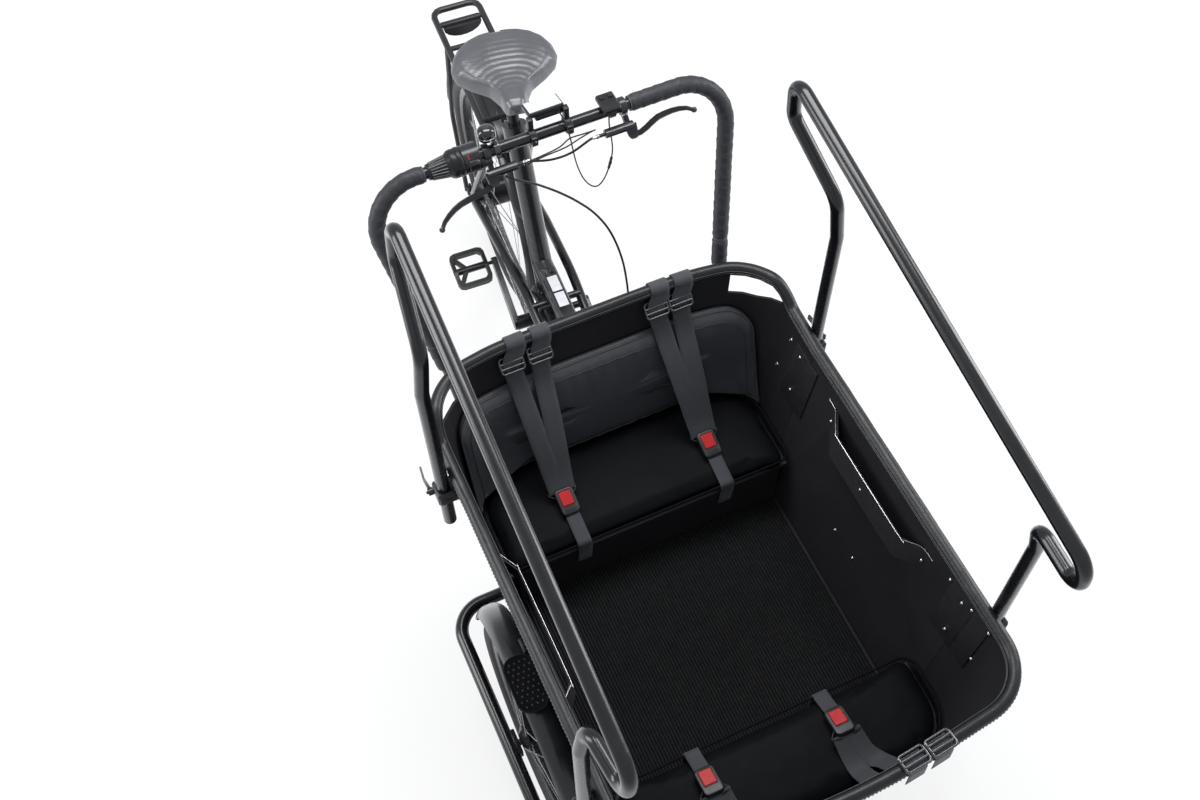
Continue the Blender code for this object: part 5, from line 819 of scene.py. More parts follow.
# %% Seat cushions
def inflated(cushion, cap, floor_z):
    """Remeshes a cushion and blows it up as cloth, with each point's travel capped."""
    shape = cushion.modifiers.new("Remesh", "REMESH")
    shape.mode = "VOXEL"
    shape.voxel_size = 0.006
    with bpy.context.temp_override(object=cushion, active_object=cushion, selected_objects=[cushion]):
        bpy.ops.object.modifier_apply(modifier=shape.name)
    before = [vert.co.copy() for vert in cushion.data.vertices]
    cloth = cushion.modifiers.new("Cloth", "CLOTH")
    cloth.settings.quality = 4
    cloth.settings.use_pressure = True
    cloth.settings.uniform_pressure_force = 4.0
    cloth.settings.effector_weights.gravity = 0.0
    cloth.point_cache.frame_start = 1
    cloth.point_cache.frame_end = 20
    for step in range(1, 21):
        bpy.context.scene.frame_set(step)
    grown = cushion.evaluated_get(bpy.context.evaluated_depsgraph_get()).to_mesh()
    after = [vert.co.copy() for vert in grown.vertices]
    cushion.modifiers.remove(cloth)
    bpy.context.scene.frame_set(1)
    for vert, old, new in zip(cushion.data.vertices, before, after):
        travel = new - old
        if travel.length > cap:
            travel *= cap / travel.length
        vert.co = old + travel
        vert.co.z = max(vert.co.z, floor_z)
    cushion.data.shade_smooth()


def seat_cushion(name, edge_y, keep, corner, node):
    low, thickness = 0.4255, 0.0315
    inside = trimmed(outline_at(low, WALL / 2 + 0.003), edge_y, keep)
    outline = even(softened(inset_ring(inside, 0.002), corner), 0.008, True)
    levels = ((0.004, 0.0), (0.001, 0.20), (0.001, 0.60), (0.003, 0.85), (0.010, 0.96), (0.040, 1.0), (0.085, 1.04))
    bm = lofted([[Vector((p.x, p.y, low + thickness * share)) for p in drawn_in(outline, inset)]
                 for inset, share in levels])
    cushion = piece(name, bm, "black_vinyl", takes=(node,), sharp=0)
    inflated(cushion, 0.008, low)
    subdivided(cushion, 1)
    top = cushion.data.vertices
    print(name, "top", round(max(v.co.z for v in top), 4), "points", len(top))
    edge = [Vector((p.x, p.y, low + thickness * 0.93)) for p in drawn_in(outline, -0.0005)]
    bent_tube(name + "_piping", edge, 0.0024, "black_vinyl", takes=(node,), sides=4, closed=True)


REAR_EDGE, FRONT_EDGE = 0.215, -0.255
seat_cushion("seat_rear", REAR_EDGE, 1, 0.020, "cushion_rear")
seat_cushion("seat_front", FRONT_EDGE, -1, 0.025, "cushion_front")

# %% [markdown]
# The backrest follows the rear wall round its corners. It is full in its middle and thins towards a
# piped edge, where the cover is drawn into small upright folds.

# %% Backrest
BACK_FOOT, BACK_TOP, BACK_HALF = 0.461, 0.702, 0.318
back_mid, back_high = (BACK_FOOT + BACK_TOP) / 2, (BACK_TOP - BACK_FOOT) / 2
foot_right, top_right, top_left, foot_left = (Vector((x * BACK_HALF, y * back_high))
                                              for x, y in ((1, -1), (1, 1), (-1, 1), (-1, -1)))
outline = even([foot_right] + corner_arc(foot_right, top_right, top_left, 0.050, 9)
               + corner_arc(top_right, top_left, foot_left, 0.050, 9) + [foot_left], 0.006, True)
levels = ((0.003, 0.0), (0.0, 0.10), (0.0, 0.30), (0.002, 0.45), (0.006, 0.60), (0.012, 0.74), (0.020, 0.85),
          (0.030, 0.92), (0.045, 0.97), (0.065, 1.0), (0.085, 1.02), (0.105, 1.03))
rings = []
for n, (inset, share) in enumerate(levels):
    ring = []
    for p in drawn_in(outline, inset):
        z = back_mid + p.y
        depth = mix(0.042, 0.032, (z - 0.460) / 0.242)
        fold = sin(p.x * 2 * pi / 0.034 + 2.0 * noise.noise(Vector((p.x * 9, z * 4, 0)))) * 0.0007
        fold *= smooth(inset / 0.01) * smooth((0.085 - inset) / 0.06)
        swell = noise.noise(Vector((p.x * 8, z * 8, 2.0))) * 0.0014 * smooth(inset / 0.03)
        y = end_wall_y(p.x, z, WALL / 2, 1) - 0.0008 - depth * share - (fold + swell if n > 3 else 0)
        ring.append(Vector((p.x, y, z)))
    rings.append(ring)
# The cover, its piping and its seam are lighter than the seats as painted sheen.
back = piece("backrest_cover", lofted(rings), "back_vinyl_painted_sheen", takes=("backrest_pad",), sharp=0)
subdivided(back, 1)
for ring, name, radius in ((rings[3], "backrest_piping", 0.0022), (rings[6], "backrest_seam", 0.0007)):
    bent_tube(name, [p - Vector((0, 0.0012, 0)) for p in ring], radius, "back_vinyl_painted_sheen",
              takes=("backrest_pad",), sides=3, closed=True)
print("backrest rings", len(rings), "by", len(outline))

# %% [markdown]
# The harnesses are webbing straps that come over the rim, run through a slide and hang slack to a
# buckle on the cushion. Every strap is a flat woven section on a smooth route.

# %% Makers for the harnesses
THICK = 0.0017
LEVEL = Vector((1, 0, 0))


def strap(name, points, levels, node, width=0.038):
    """A webbing strap through points, each with its own level direction across."""
    route = smooth_route(points, 0.006)
    picked = []
    for i in range(len(route)):
        share = i / (len(route) - 1) * (len(levels) - 1)
        n = min(int(share), len(levels) - 2)
        picked.append(levels[n].lerp(levels[n + 1], share - n))
    bm = bmesh.new()
    swept(bm, frames_along(route, picked), strap_section(width, THICK))
    # The webbing finish is lighter than its own dark grey: painted light.
    made = piece(name, bm, "black_webbing", takes=(node,), sharp=60)


def over_rim(x, rear, inside_drop, outside_drop):
    """A route from inside the box over the rim tube to its outer side."""
    y, z = rim_spot(x, rear)
    way = 1 if rear else -1
    r = RIM_RADIUS + THICK / 2 + 0.0018
    top = [Vector((x, y + way * r * cos(radians(turn)), z + r * sin(radians(turn)))) for turn in range(180, -1, -30)]
    return [Vector((x, y - way * r, z - inside_drop))] + top + [Vector((x, y + way * (r + 0.0015), z - outside_drop))]


def wire(name, points, radius, look, node, sides, closed=True):
    bent_tube(name, points, radius, look, takes=(node,), sides=sides, closed=closed)


def slide(name, matrix, node, width, height, radius=0.0026):
    """A two-bar slide: a rounded wire frame with two bars across."""
    wire(name, [matrix @ p for p in rounded_rectangle(width, height, 0.005, 6)], radius, "slide_metal", node, 4)
    bm = bmesh.new()
    for y in (0.0052, -0.0052):
        rod_in(bm, matrix @ Vector((-width / 2, y, 0.002)), matrix @ Vector((width / 2, y, 0.002)), radius * 0.85, 12)
    piece(name + "_bars", bm, "slide_metal", takes=(node,))


def buckle(name, place, node):
    """A housing with a pocket round its button, and a lip round the pocket."""
    def rounded(edges, offset, segments):
        bmesh.ops.bevel(bm, geom=edges, offset=offset, segments=segments, profile=0.5, affect="EDGES", material=-1)

    def rise(edge):
        return abs((edge.verts[0].co - edge.verts[1].co).z)

    bm = bmesh.new()
    bmesh.ops.create_cube(bm, size=1.0)
    bmesh.ops.scale(bm, vec=Vector((0.040, 0.056, 0.017)), verts=bm.verts)
    rounded([edge for edge in bm.edges if rise(edge) > 0.01], 0.009, 4)
    rounded([edge for edge in bm.edges if rise(edge) < 0.001], 0.003, 3)
    top = max(bm.faces, key=lambda face: face.calc_center_median().z + face.calc_area())
    bmesh.ops.inset_individual(bm, faces=[top], thickness=0.003)
    for vert in top.verts:
        vert.co.x = 0.0129 * max(-1.0, min(1.0, vert.co.x / 0.011))
        vert.co.y = 0.006 + 0.0154 * max(-1.0, min(1.0, vert.co.y / 0.014))
    made = bmesh.ops.extrude_discrete_faces(bm, faces=[top])["faces"]
    bmesh.ops.translate(bm, vec=Vector((0, 0, -0.0094)), verts=made[0].verts)
    bmesh.ops.transform(bm, matrix=place, verts=bm.verts)
    piece(name, bm, "black_plastic", takes=(node,), sharp=35)
    lip = rounded_rectangle(0.0280, 0.0330, 0.003, 4, y=0.006, z=0.0086)
    wire(name + "_lip", [place @ p for p in lip], 0.0006, "black_plastic", node, 2)


# %% [markdown]
# A rear strap leaves its buckle, hangs a little over the backrest and reaches its slide above the
# backrest's edge. A front strap lies on the cushion and climbs the front wall. Below each buckle a
# narrow strap runs over the cushion's edge, and a wire loop stands on either side.

# %% Harnesses
def rear_shoulder(name, x, buckle_end, rim_x, slide_x, node):
    lean = 0.009 * (1 if slide_x > x else -1)
    slide_y = end_wall_y(slide_x, 0.764, WALL / 2, 1) - 0.0175
    edge_x = mix(slide_x, x + lean, 0.2)
    edge = Vector((edge_x, end_wall_y(edge_x, BACK_TOP, WALL / 2, 1) - 0.0256 - 0.004, BACK_TOP + 0.002))
    points = [Vector((x + lean, buckle_end.y, buckle_end.z)),
              Vector((mix(x + lean, edge.x, 0.15), buckle_end.y + 0.022, buckle_end.z + 0.030))]
    points += [points[1].lerp(edge, share) + Vector((0, -0.006, -0.0036)) for share in (0.35, 0.7)]
    points += [edge, Vector((slide_x, slide_y, 0.764))]
    over, slope = over_rim(rim_x, True, 0.006, 0.026), rim_slope(rim_x, True)
    strap("strap_" + name, points + over, [LEVEL] * 4 + [LEVEL.lerp(slope, 0.5)] + [slope] * (len(over) + 1), node)
    slide("slide_" + name, turned_to((slide_x, slide_y, 0.764), x=48), node, 0.046, 0.032)


def front_shoulder(name, x, buckle_end, rim_x, node):
    lean = 0.010 * (1 if rim_x > x else -1)
    wall = [Vector((rim_x, end_wall_y(rim_x, h, WALL / 2, -1) + 0.0075, h)) for h in (0.520, 0.580, 0.640, 0.700)]
    points = [Vector((x + lean, buckle_end.y, buckle_end.z)), Vector((mix(x + lean, rim_x, 0.3), -0.392, 0.469)),
              Vector((mix(x + lean, rim_x, 0.8), wall[0].y + 0.030, 0.473))] + wall
    over, slope = over_rim(rim_x, False, 0.020, 0.034), rim_slope(rim_x, False)
    levels = [LEVEL, LEVEL, LEVEL.lerp(slope, 0.5)] + [slope] * (len(wall) + len(over))
    strap("strap_" + name, points + over, levels, node)
    rim_y, rim_z = rim_spot(rim_x, False)
    slide("slide_" + name, turned_to((rim_x, rim_y + 0.002, rim_z + RIM_RADIUS + 0.006), x=-4,
                                     z=degrees(atan2(slope.y, slope.x))), node, 0.046, 0.030)


for seat, way, side, x, straps in (("rear", 1, "left", 0.167, ((0.137, 0.125), (0.187, 0.176))),
                                   ("rear", 1, "right", -0.152, ((-0.112, -0.122), (-0.164, -0.180))),
                                   ("front", -1, "left", 0.120, ((0.114,), (0.166,))),
                                   ("front", -1, "right", -0.148, ((-0.114,), (-0.166,)))):
    node = "harness_%s_%s" % (seat, side)
    place, edge, shoulder = ((turned_to((x, 0.302, 0.4835), x=18), REAR_EDGE - 0.003, rear_shoulder) if way > 0 else
                             (turned_to((x, -0.325, 0.4835), x=-12), FRONT_EDGE + 0.003, front_shoulder))
    buckle("buckle_%s_%s" % (seat, side), place, node)
    for n, reach in enumerate(straps):
        shoulder("%s_%d" % (node, n), x, place @ Vector((0, way * 0.024, 0)), *reach, node)
    over = [(x, edge + way * shift, z) for shift, z in ((0.017, 0.4632), (0.003, 0.460), (0, 0.450), (0, 0.4255),
                                                        (0.0042, 0.3955), (0.006, 0.3775))]
    strap("crotch_" + node, [place @ Vector((0, -way * 0.024, 0))] + over, [LEVEL] * 7, node, width=0.030)
    for hand in (1, -1):
        loop = [place @ Vector((hand * across, way * along, rise))
                for across, along, rise in ((0.019, 0.012, 0), (0.030, 0.026, -0.002), (0.012, 0.030, 0.002))]
        wire("hook_%s_%d" % (node, hand), smooth_route(loop, 0.002), 0.0011, "black_plastic", node, 3, False)


# %% [markdown]
# The tubes are smooth curves on the construction's routes: the two cover rails, the push bar and its
# tape. The tape is wound in a spiral, so its radius steps down once in every turn of the winding.

# %% Rails and push bar
for side, name in SIDES:
    route = bent(mirrored(side, [
        (0.3895, -0.331, 0.590), (0.3895, -0.331, 1.000), (0.376, -0.327, 1.070), (0.366, -0.440, 1.078),
        (0.360, -0.436, 1.150), (0.352, 0.450, 1.312), (0.358, 0.452, 1.222), (0.377, 0.313, 1.140),
        (0.3895, 0.310, 1.040), (0.3895, 0.310, 0.590)]), [0.050, 0.030, 0.036, 0.036, 0.030, 0.030, 0.050, 0.050])
    bent_tube("rail_tube_" + name, route, 0.0127, "black_paint", "rail_" + name, takes=("rail_" + name,), sides=10)

BAR_RADIUS = 0.0111
foot_y, mid_y = (end_wall_y(x, z, -WALL / 2, 1) + BAR_RADIUS + 0.008 for x, z in ((0.280, 0.450), (0.282, 0.640)))
leg = [(0.360, BAR_Y, BAR_Z), (0.290, 0.532, 0.725), (0.282, mid_y, 0.640), (0.280, foot_y, 0.450)]
bar_route = bent(list(reversed(leg)) + mirrored(-1, leg), [0.06, 0.06, 0.090, 0.090, 0.06, 0.06], 4)
bent_tube("bar_tube", bar_route, BAR_RADIUS, "black_paint", takes=("push_bar",), sides=8)
for side in (1, -1):
    bm = bmesh.new()
    for z in (0.600, 0.475):
        outer, inner, above, below, middle = (
            end_wall_y(x, z + rise, -WALL / 2, 1)
            for x, rise in ((0.303, 0), (0.259, 0), (0.281, 0.015), (0.281, -0.015), (0.281, 0)))
        swing, tilt = atan2(outer - inner, 0.044), atan2(above - below, 0.030)
        block_in(bm, (0.044, 0.016, 0.030), turned_to((side * 0.281, middle + 0.0096 / cos(swing), z),
                                                      x=-degrees(tilt), z=side * degrees(swing)), 0.002)
    piece("bar_feet_%d" % side, bm, "black_paint", takes=("push_bar",))

TAPE_STEP, TAPE_SIDES = 0.0035, 24
for side, name, start in ((1, "left", 0.158), (-1, "right", -0.236)):
    grip, knee = (Vector(p) for p in mirrored(side, leg[:2]))
    low_end, foot_end = (knee + (grip - knee).normalized() * reach for reach in (0.080, 0.022))
    points = [p for p in bar_route[::side] if p.x * side > abs(start) and p.z > low_end.z]
    route = even([low_end] + points + [Vector((start, BAR_Y, BAR_Z))], TAPE_STEP)

    def tape(i, k):
        turn = i * TAPE_STEP / 0.022 + k / TAPE_SIDES * side
        soft = noise.noise(Vector((i * 0.05, k * 0.2, side))) * 0.0004
        radius = 0.0152 + 0.0012 * (turn % 1.0) + soft
        if i < 2 or i > len(route) - 3:
            radius -= 0.0014
        return Vector((radius * cos(2 * pi * k / TAPE_SIDES), radius * sin(2 * pi * k / TAPE_SIDES), 0))

    for part, line, node in (("tape_", route, "bar_wrap_" + name),
                             ("tape_foot_", even([low_end, foot_end], TAPE_STEP), "push_bar")):
        bm = bmesh.new()
        swept(bm, frames_along(line), circle(0.0155, TAPE_SIDES), growth=tape)
        piece(part + name, bm, "bar_tape", takes=(node,), sharp=60)
print("bar points", len(bar_route))

# %% [markdown]
# The mat is one rubber sheet with fine ribs that run from front to rear.

# %% Mat
half, foot, top, rib = FLOOR_HALF - 0.0095, 0.2916, 0.0085, 0.0066
count = int(2 * half / rib)
section = [(-half, 0.0), (half, 0.0)]
for n in range(count, -1, -1):
    x = -half + (n + 0.5) * 2 * half / (count + 1)
    section += [(x + 0.0026, top - 0.0016), (x + 0.0014, top), (x - 0.0014, top), (x - 0.0026, top - 0.0016)]
upright = Matrix(((1, 0, 0), (0, 0, 1), (0, 1, 0))).to_4x4()
bm = bmesh.new()
swept(bm, [Matrix.Translation((0, y, foot)) @ upright for y in (-0.2590, -0.020, 0.2190)], section)
piece("mat_ribbed", bm, "mat_rubber", takes=("floor_mat",), sharp=30)
print("mat ribs", count + 1)


# %% [markdown]
# The frame under the box keeps the construction's beams, stub axles and brackets. Its bumpers are smooth
# tubes that run outside the wheels.

# %% Frame under the box
FRONT_WHEEL_X, FRONT_RADIUS = 0.372, 0.251
bm = bmesh.new()
beam_x, beam_z = FLOOR_HALF + WALL / 2 - 0.020, 0.2625
for deep, high, y in ((0.044, 0.043, AXLE_Y), (0.030, 0.041, -0.335), (0.030, 0.041, 0.330)):
    block_in(bm, (2 * beam_x, deep, high), (0, y, beam_z), 0.002)
rod_in(bm, (0, AXLE_Y, 0.2255), (0, AXLE_Y, 0.240), 0.030, 32)
for side in (1, -1):
    block_in(bm, (0.040, 0.725, 0.045), (side * beam_x, -0.0025, beam_z), 0.0025)
    block_in(bm, (0.022, 0.052, 0.030), (side * 0.426, AXLE_Y, 0.254), 0.002)
    for start, end, radius, sides in ((-0.01, 0.4355, 0.0068, 20), (0.010, 0.3235, 0.015, 24)):
        rod_in(bm, (side * (beam_x + start), AXLE_Y, FRONT_RADIUS), (side * end, AXLE_Y, FRONT_RADIUS), radius, sides)
    block_in(bm, (0.0185, 0.026, 0.046), (side * 0.3198, 0.012, 0.281), 0.001)
    block_in(bm, (0.032, 0.026, 0.020), (side * 0.3130, 0.012, beam_z + 0.002), 0.001)
    block_in(bm, (0.010, 0.050, 0.030), turned_to((side * 0.3255, 0.018, 0.301), x=-45), 0.002)
piece("chassis", bm, "black_paint", takes=("axle_frame",))
for side, name in SIDES:
    route = bent(mirrored(side, [(beam_x + 0.005, 0.270, 0.260), (0.4355, 0.270, 0.260), (0.4355, -0.350, 0.260),
                                 (beam_x + 0.005, -0.350, 0.260)]), 0.065)
    bent_tube("bumper_" + name, route, 0.0139, "black_paint", takes=("axle_frame",), sides=10)
print("bumper points", len(route))

# %% [markdown]
# Wheels are turned tyres on turned rims, laced with thin spokes to turned hubs. The front hubs carry
# brake discs on the side of the box, and the rear hub has a sprocket.

# %% Wheels
TYRE_HALF = 0.024


def tyre_section(outer, bead):
    points = [(bead + 0.0009, -0.0122), (bead + 0.0066, -0.0122)]
    for turn in range(-125, 126, 5):
        radius = TYRE_HALF - (0.0012 if abs(turn) < 48 and (turn // 5) % 3 == 0 else 0.0)
        points.append((outer - TYRE_HALF + radius * cos(radians(turn)), radius * sin(radians(turn))))
    return points + [(bead + 0.0066, 0.0122), (bead + 0.0009, 0.0122)]


def rim_section(bead):
    half = [(0.0060, 0.0127), (0.0060, 0.0152), (-0.002, 0.0148), (-0.010, 0.0110), (-0.0115, 0.0), (-0.010, -0.0110),
            (-0.002, -0.0148), (0.0060, -0.0152), (0.0060, -0.0127), (0.0004, -0.0127), (0.0004, 0.0127)]
    return [(bead + x, y) for x, y in half[1:] + half[:1]]


def wheel_pieces(name, body, matrix, outer, bead, count, hub, flange, crossing):
    bm = bmesh.new()
    ring_in(bm, tyre_section(outer, bead), matrix, 120)
    piece("rubber_" + name, bm, "tyre_rubber", body, takes=("tyre_" + name,), sharp=50)
    bm = bmesh.new()
    ring_in(bm, rim_section(bead), matrix, 96)
    ring_in(bm, hub, matrix, 40)
    piece("rim_" + name, bm, "dark_metal", body, takes=("wheel_" + name,), sharp=40)
    bm = bmesh.new()
    for index in range(count):
        side, place = (1 if index % 2 else -1), index // 2
        way = 1 if place % 2 else -1
        hub_angle = 2 * pi * (place + (0.5 if side > 0 else 0.0)) / (count // 2)
        rim_angle = hub_angle + crossing * way
        start = Vector((flange * cos(hub_angle), flange * sin(hub_angle), side * (0.026 + 0.0021 * way)))
        end = Vector(((bead - 0.0105) * cos(rim_angle), (bead - 0.0105) * sin(rim_angle), side * 0.004))
        rod_in(bm, matrix @ start, matrix @ end, 0.0011, 8)
        rod_in(bm, matrix @ end.lerp(start, 0.07), matrix @ end, 0.0019, 8)
    piece("spokes_" + name, bm, "steel", body, takes=("wheel_" + name,), sharp=40)
    print(name, "spokes", count)


AXLE_BORE = 0.0076
front_hub = [(AXLE_BORE, -0.048), (0.018, -0.048), (0.018, -0.0408), (0.080, -0.0408), (0.080, -0.0388),
             (0.018, -0.0388), (0.029, -0.0285), (0.029, -0.0235), (0.015, -0.019), (0.015, 0.019), (0.029, 0.0235),
             (0.029, 0.0285), (0.014, 0.039), (AXLE_BORE, 0.039)]
rear_hub = [(AXLE_BORE, -0.062), (0.016, -0.062), (0.029, -0.0475), (0.029, -0.0425), (0.022, -0.040),
            (0.045, -0.0285), (0.045, -0.0235), (0.038, -0.020), (0.038, 0.020), (0.045, 0.0235), (0.045, 0.0285),
            (0.014, 0.062), (AXLE_BORE, 0.062)]
REAR_AXLE = Vector((0, 1.270, 0.302))
for side, name in SIDES:
    place = turned_to((side * FRONT_WHEEL_X, AXLE_Y, FRONT_RADIUS), y=90 * side)
    wheel_pieces("front_" + name, "wheel_front_" + name, place, FRONT_RADIUS, 0.203, 20, front_hub, 0.025, radians(52))
rear_wheel = turned_to(REAR_AXLE, y=90)
wheel_pieces("rear", "wheel_rear", rear_wheel, 0.302, 0.2535, 24, rear_hub, 0.041, radians(46))

TEETH = 18
pitch = 0.0127 / (2 * sin(pi / TEETH))
bm = bmesh.new()
for n, vert in enumerate(bmesh.ops.create_circle(bm, cap_ends=False, segments=3 * TEETH, radius=pitch)["verts"]):
    reach, turn = pitch + (0.0026 if n % 3 == 1 else -0.0038), 2 * pi * (n // 3 + (n % 3 - 1) * 0.24) / TEETH
    vert.co = Vector((reach * cos(turn), reach * sin(turn), 0.0))
bmesh.ops.create_circle(bm, cap_ends=False, segments=3 * TEETH, radius=0.0221)
bmesh.ops.bridge_loops(bm, edges=bm.edges[:])
made = bmesh.ops.extrude_face_region(bm, geom=bm.faces[:])["geom"]
far_side = [item for item in made if isinstance(item, bmesh.types.BMVert)]
bmesh.ops.translate(bm, vec=Vector((0, 0, 0.002)), verts=far_side)
bmesh.ops.transform(bm, matrix=rear_wheel @ Matrix.Translation((0, 0, -0.046)), verts=bm.verts)
piece("sprocket", bm, "steel", "wheel_rear", takes=("wheel_rear",), sharp=30)

# %% [markdown]
# The rear frame's tubes are modelled again as smooth tubes on the construction's routes. The motor hangs
# in the middle of them, and the head of the seat tube has its clamp with a bolt.

# %% Rear frame
BRACKET = Vector((0, 0.885, 0.275))


def seat_line(z, x=0.0):
    return Vector((x, BRACKET.y + (z - BRACKET.z) / tan(radians(69)), z))


def frame_tube(name, points, bend, radius, sides=8):
    bent_tube(name, bent(points, bend, 4) if bend else points, radius, "black_paint", "rear", takes=("rear_frame",),
              sides=sides)


frame_tube("beam", [seat_line(0.410), (0, 0.700, 0.410), (0, 0.500, 0.196), (0, AXLE_Y, 0.196)], 0.110, 0.0235, 12)
frame_tube("seat_tube", [seat_line(0.275), seat_line(0.735)], 0, 0.0235, 12)
for side, name in SIDES:
    frame_tube("stay_" + name, mirrored(side, [
        (0.0675, 1.246, 0.306), (0.066, 1.100, 0.346), (0.060, 0.900, 0.386), (0.055, 0.760, 0.366),
        (0.040, 0.545, 0.214), (0.024, 0.450, 0.196)]), [0.30, 0.30, 0.15, 0.15], 0.0110)
    frame_tube("upper_stay_" + name, [seat_line(0.690, side * 0.020), (side * 0.050, 1.112, 0.628),
                                      (side * 0.0675, 1.258, 0.328)], 0.060, 0.0080)
bm = bmesh.new()
rod_in(bm, seat_line(0.713), seat_line(0.741), 0.0270, 32)
rod_in(bm, (0, AXLE_Y, 0.186), (0, AXLE_Y, 0.283), 0.0195, 32)
rod_in(bm, (0, AXLE_Y, 0.1705), (0, AXLE_Y, 0.2215), 0.034, 36)
rod_in(bm, (-0.058, 0.840, 0.3835), (0.058, 0.840, 0.3835), 0.0085, 20)
rod_in(bm, (-0.070, REAR_AXLE.y, REAR_AXLE.z), (0.070, REAR_AXLE.y, REAR_AXLE.z), 0.0068, 20)
for side in (1, -1):
    block_in(bm, (0.006, 0.046, 0.050), (side * 0.0675, 1.268, 0.306), 0.002)
piece("frame_fittings", bm, "black_paint", "rear", takes=("rear_frame",))
bm = bmesh.new()
block_in(bm, (0.066, 0.124, 0.118), turned_to((0, 0.873, 0.289), x=-18), 0.018, 4)
rod_in(bm, (-0.0345, BRACKET.y, BRACKET.z), (0.0345, BRACKET.y, BRACKET.z), 0.0215, 32)
piece("motor_cover", bm, "black_plastic", "rear", takes=("rear_frame",))
bm = bmesh.new()
rod_in(bm, *(seat_line(0.727) + Vector((x, 0.030, 0)) for x in (-0.014, 0.014)), 0.0034, 16)
piece("seat_clamp_bolt", bm, "steel", "rear", takes=("rear_frame",))
print("seat tube leads to", seat_line(0.850))


# %% [markdown]
# The saddle has a wide round back, two smooth side lobes and a middle band with soft grooves across,
# which bend backwards in arcs. Each row below is a place along it, its share of the half width, and how
# far its top and its edge lie below the highest point.

# %% Saddle
SADDLE_PLACE = (Matrix.Translation((0, seat_line(0.850).y, 0)) @ Matrix.Rotation(radians(-8), 4, "Z")
                @ Matrix.Translation((0.002, -0.013, 0)) @ Matrix.Diagonal((1, 0.94, 1, 1)))
SADDLE_TOP, SADDLE_HALF, SADDLE_STEPS, SADDLE_POINTS = 0.910, 0.112, 96, 64
sections = ((-0.138, 0.05, 0.024, 0.034), (-0.134, 0.15, 0.014, 0.040), (-0.120, 0.21, 0.008, 0.046),
            (-0.095, 0.25, 0.006, 0.050), (-0.062, 0.40, 0.006, 0.050), (-0.034, 0.72, 0.006, 0.050),
            (-0.008, 0.95, 0.003, 0.050), (0.014, 1.01, 0.001, 0.047), (0.036, 0.98, 0.000, 0.044),
            (0.058, 0.88, 0.001, 0.041), (0.076, 0.71, 0.004, 0.037), (0.089, 0.50, 0.009, 0.033),
            (0.097, 0.28, 0.014, 0.029), (0.101, 0.10, 0.018, 0.027))


def saddle_at(t):
    """Place, half width, top drop and edge drop at a share of the saddle's length."""
    t *= len(sections) - 1
    n = min(int(t), len(sections) - 2)
    return [mix(a, b, t - n) for a, b in zip(sections[n], sections[n + 1])]


def saddle_point(y, half, top, low, turn):
    c, s = cos(turn), sin(turn)
    share = abs(c)
    x = half * share ** 0.85 * (1 if c > 0 else -1)
    if s < 0:
        return Vector((x * (1 + 0.20 * s), y, SADDLE_TOP - low))
    z = SADDLE_TOP - top - (low - top) * (0.30 * share ** 3 + 0.45 * share ** 14)
    band = smooth((0.80 - share) / 0.15) * smooth((y + 0.105) / 0.03) * smooth((0.092 - y) / 0.02)
    groove = sin((y + 0.55 * share * share * half - 0.002) * 2 * pi / 0.0150)
    z -= band * (0.0016 * smooth((groove + 0.2) / 0.9) + 0.0012)
    z += 0.0035 * smooth((share - 0.45) / 0.2) * smooth((1.0 - share) / 0.3) * smooth((y + 0.03) / 0.06)
    return Vector((x, y, z))


rings = []
for n in range(SADDLE_STEPS + 1):
    y, half, top, low = saddle_at(n / SADDLE_STEPS)
    rings.append([saddle_point(y, half * SADDLE_HALF, top, low, 2 * pi * k / SADDLE_POINTS)
                  for k in range(SADDLE_POINTS)])
bm = lofted(rings)
bmesh.ops.transform(bm, matrix=SADDLE_PLACE, verts=bm.verts)
# The cover's lighter finish paints the reflection that lies over the saddle.
piece("saddle_cover", bm, "saddle_vinyl_painted_sheen", "seat", takes=("saddle",), sharp=75)
print("saddle rings", len(rings))

# %% [markdown]
# The controls on the bar: twist shifter with a ribbed drum, bell with a domed cap, screen with a glass
# face and frame, clamp bolts, and the small bits of steel that catch the light.

# %% Shifter and bell
CLAMP_BORE = 0.0119
RING_BORE = CLAMP_BORE - 0.0004
length = 0.064
drum = [(CLAMP_BORE, 0.0), (0.0255, 0.0), (0.0268, 0.0012), (0.0273, 0.005), (0.0265, 0.0085), (0.0258, 0.010),
        (0.0263, 0.0115), (0.0262, 0.018), (0.0245, 0.0225), (0.0215, 0.026), (0.019, 0.0315), (0.0172, 0.040),
        (0.016, 0.050), (0.0152, 0.058), (0.0147, 0.0625), (0.014, length), (CLAMP_BORE, length)]
matrix = turned_to((-0.166, BAR_Y, BAR_Z), y=-90)
bm = bmesh.new()
ring_in(bm, drum, matrix, 60)
piece("grip_drum", bm, "black_plastic", "shifter_grip", takes=("shifter_grip",))
bm = bmesh.new()
# The ribs take the saddle's lighter finish, with its painted reflection, so they stand out on the dark drum.
for near, far in zip(circle(0.0196, 20), circle(0.0152, 20)):
    rod_in(bm, matrix @ Vector((*near, 0.029)), matrix @ Vector((*far, 0.058)), 0.0012, 8)
piece("grip_ribs", bm, "saddle_vinyl_painted_sheen", "shifter_grip", takes=("shifter_grip",))

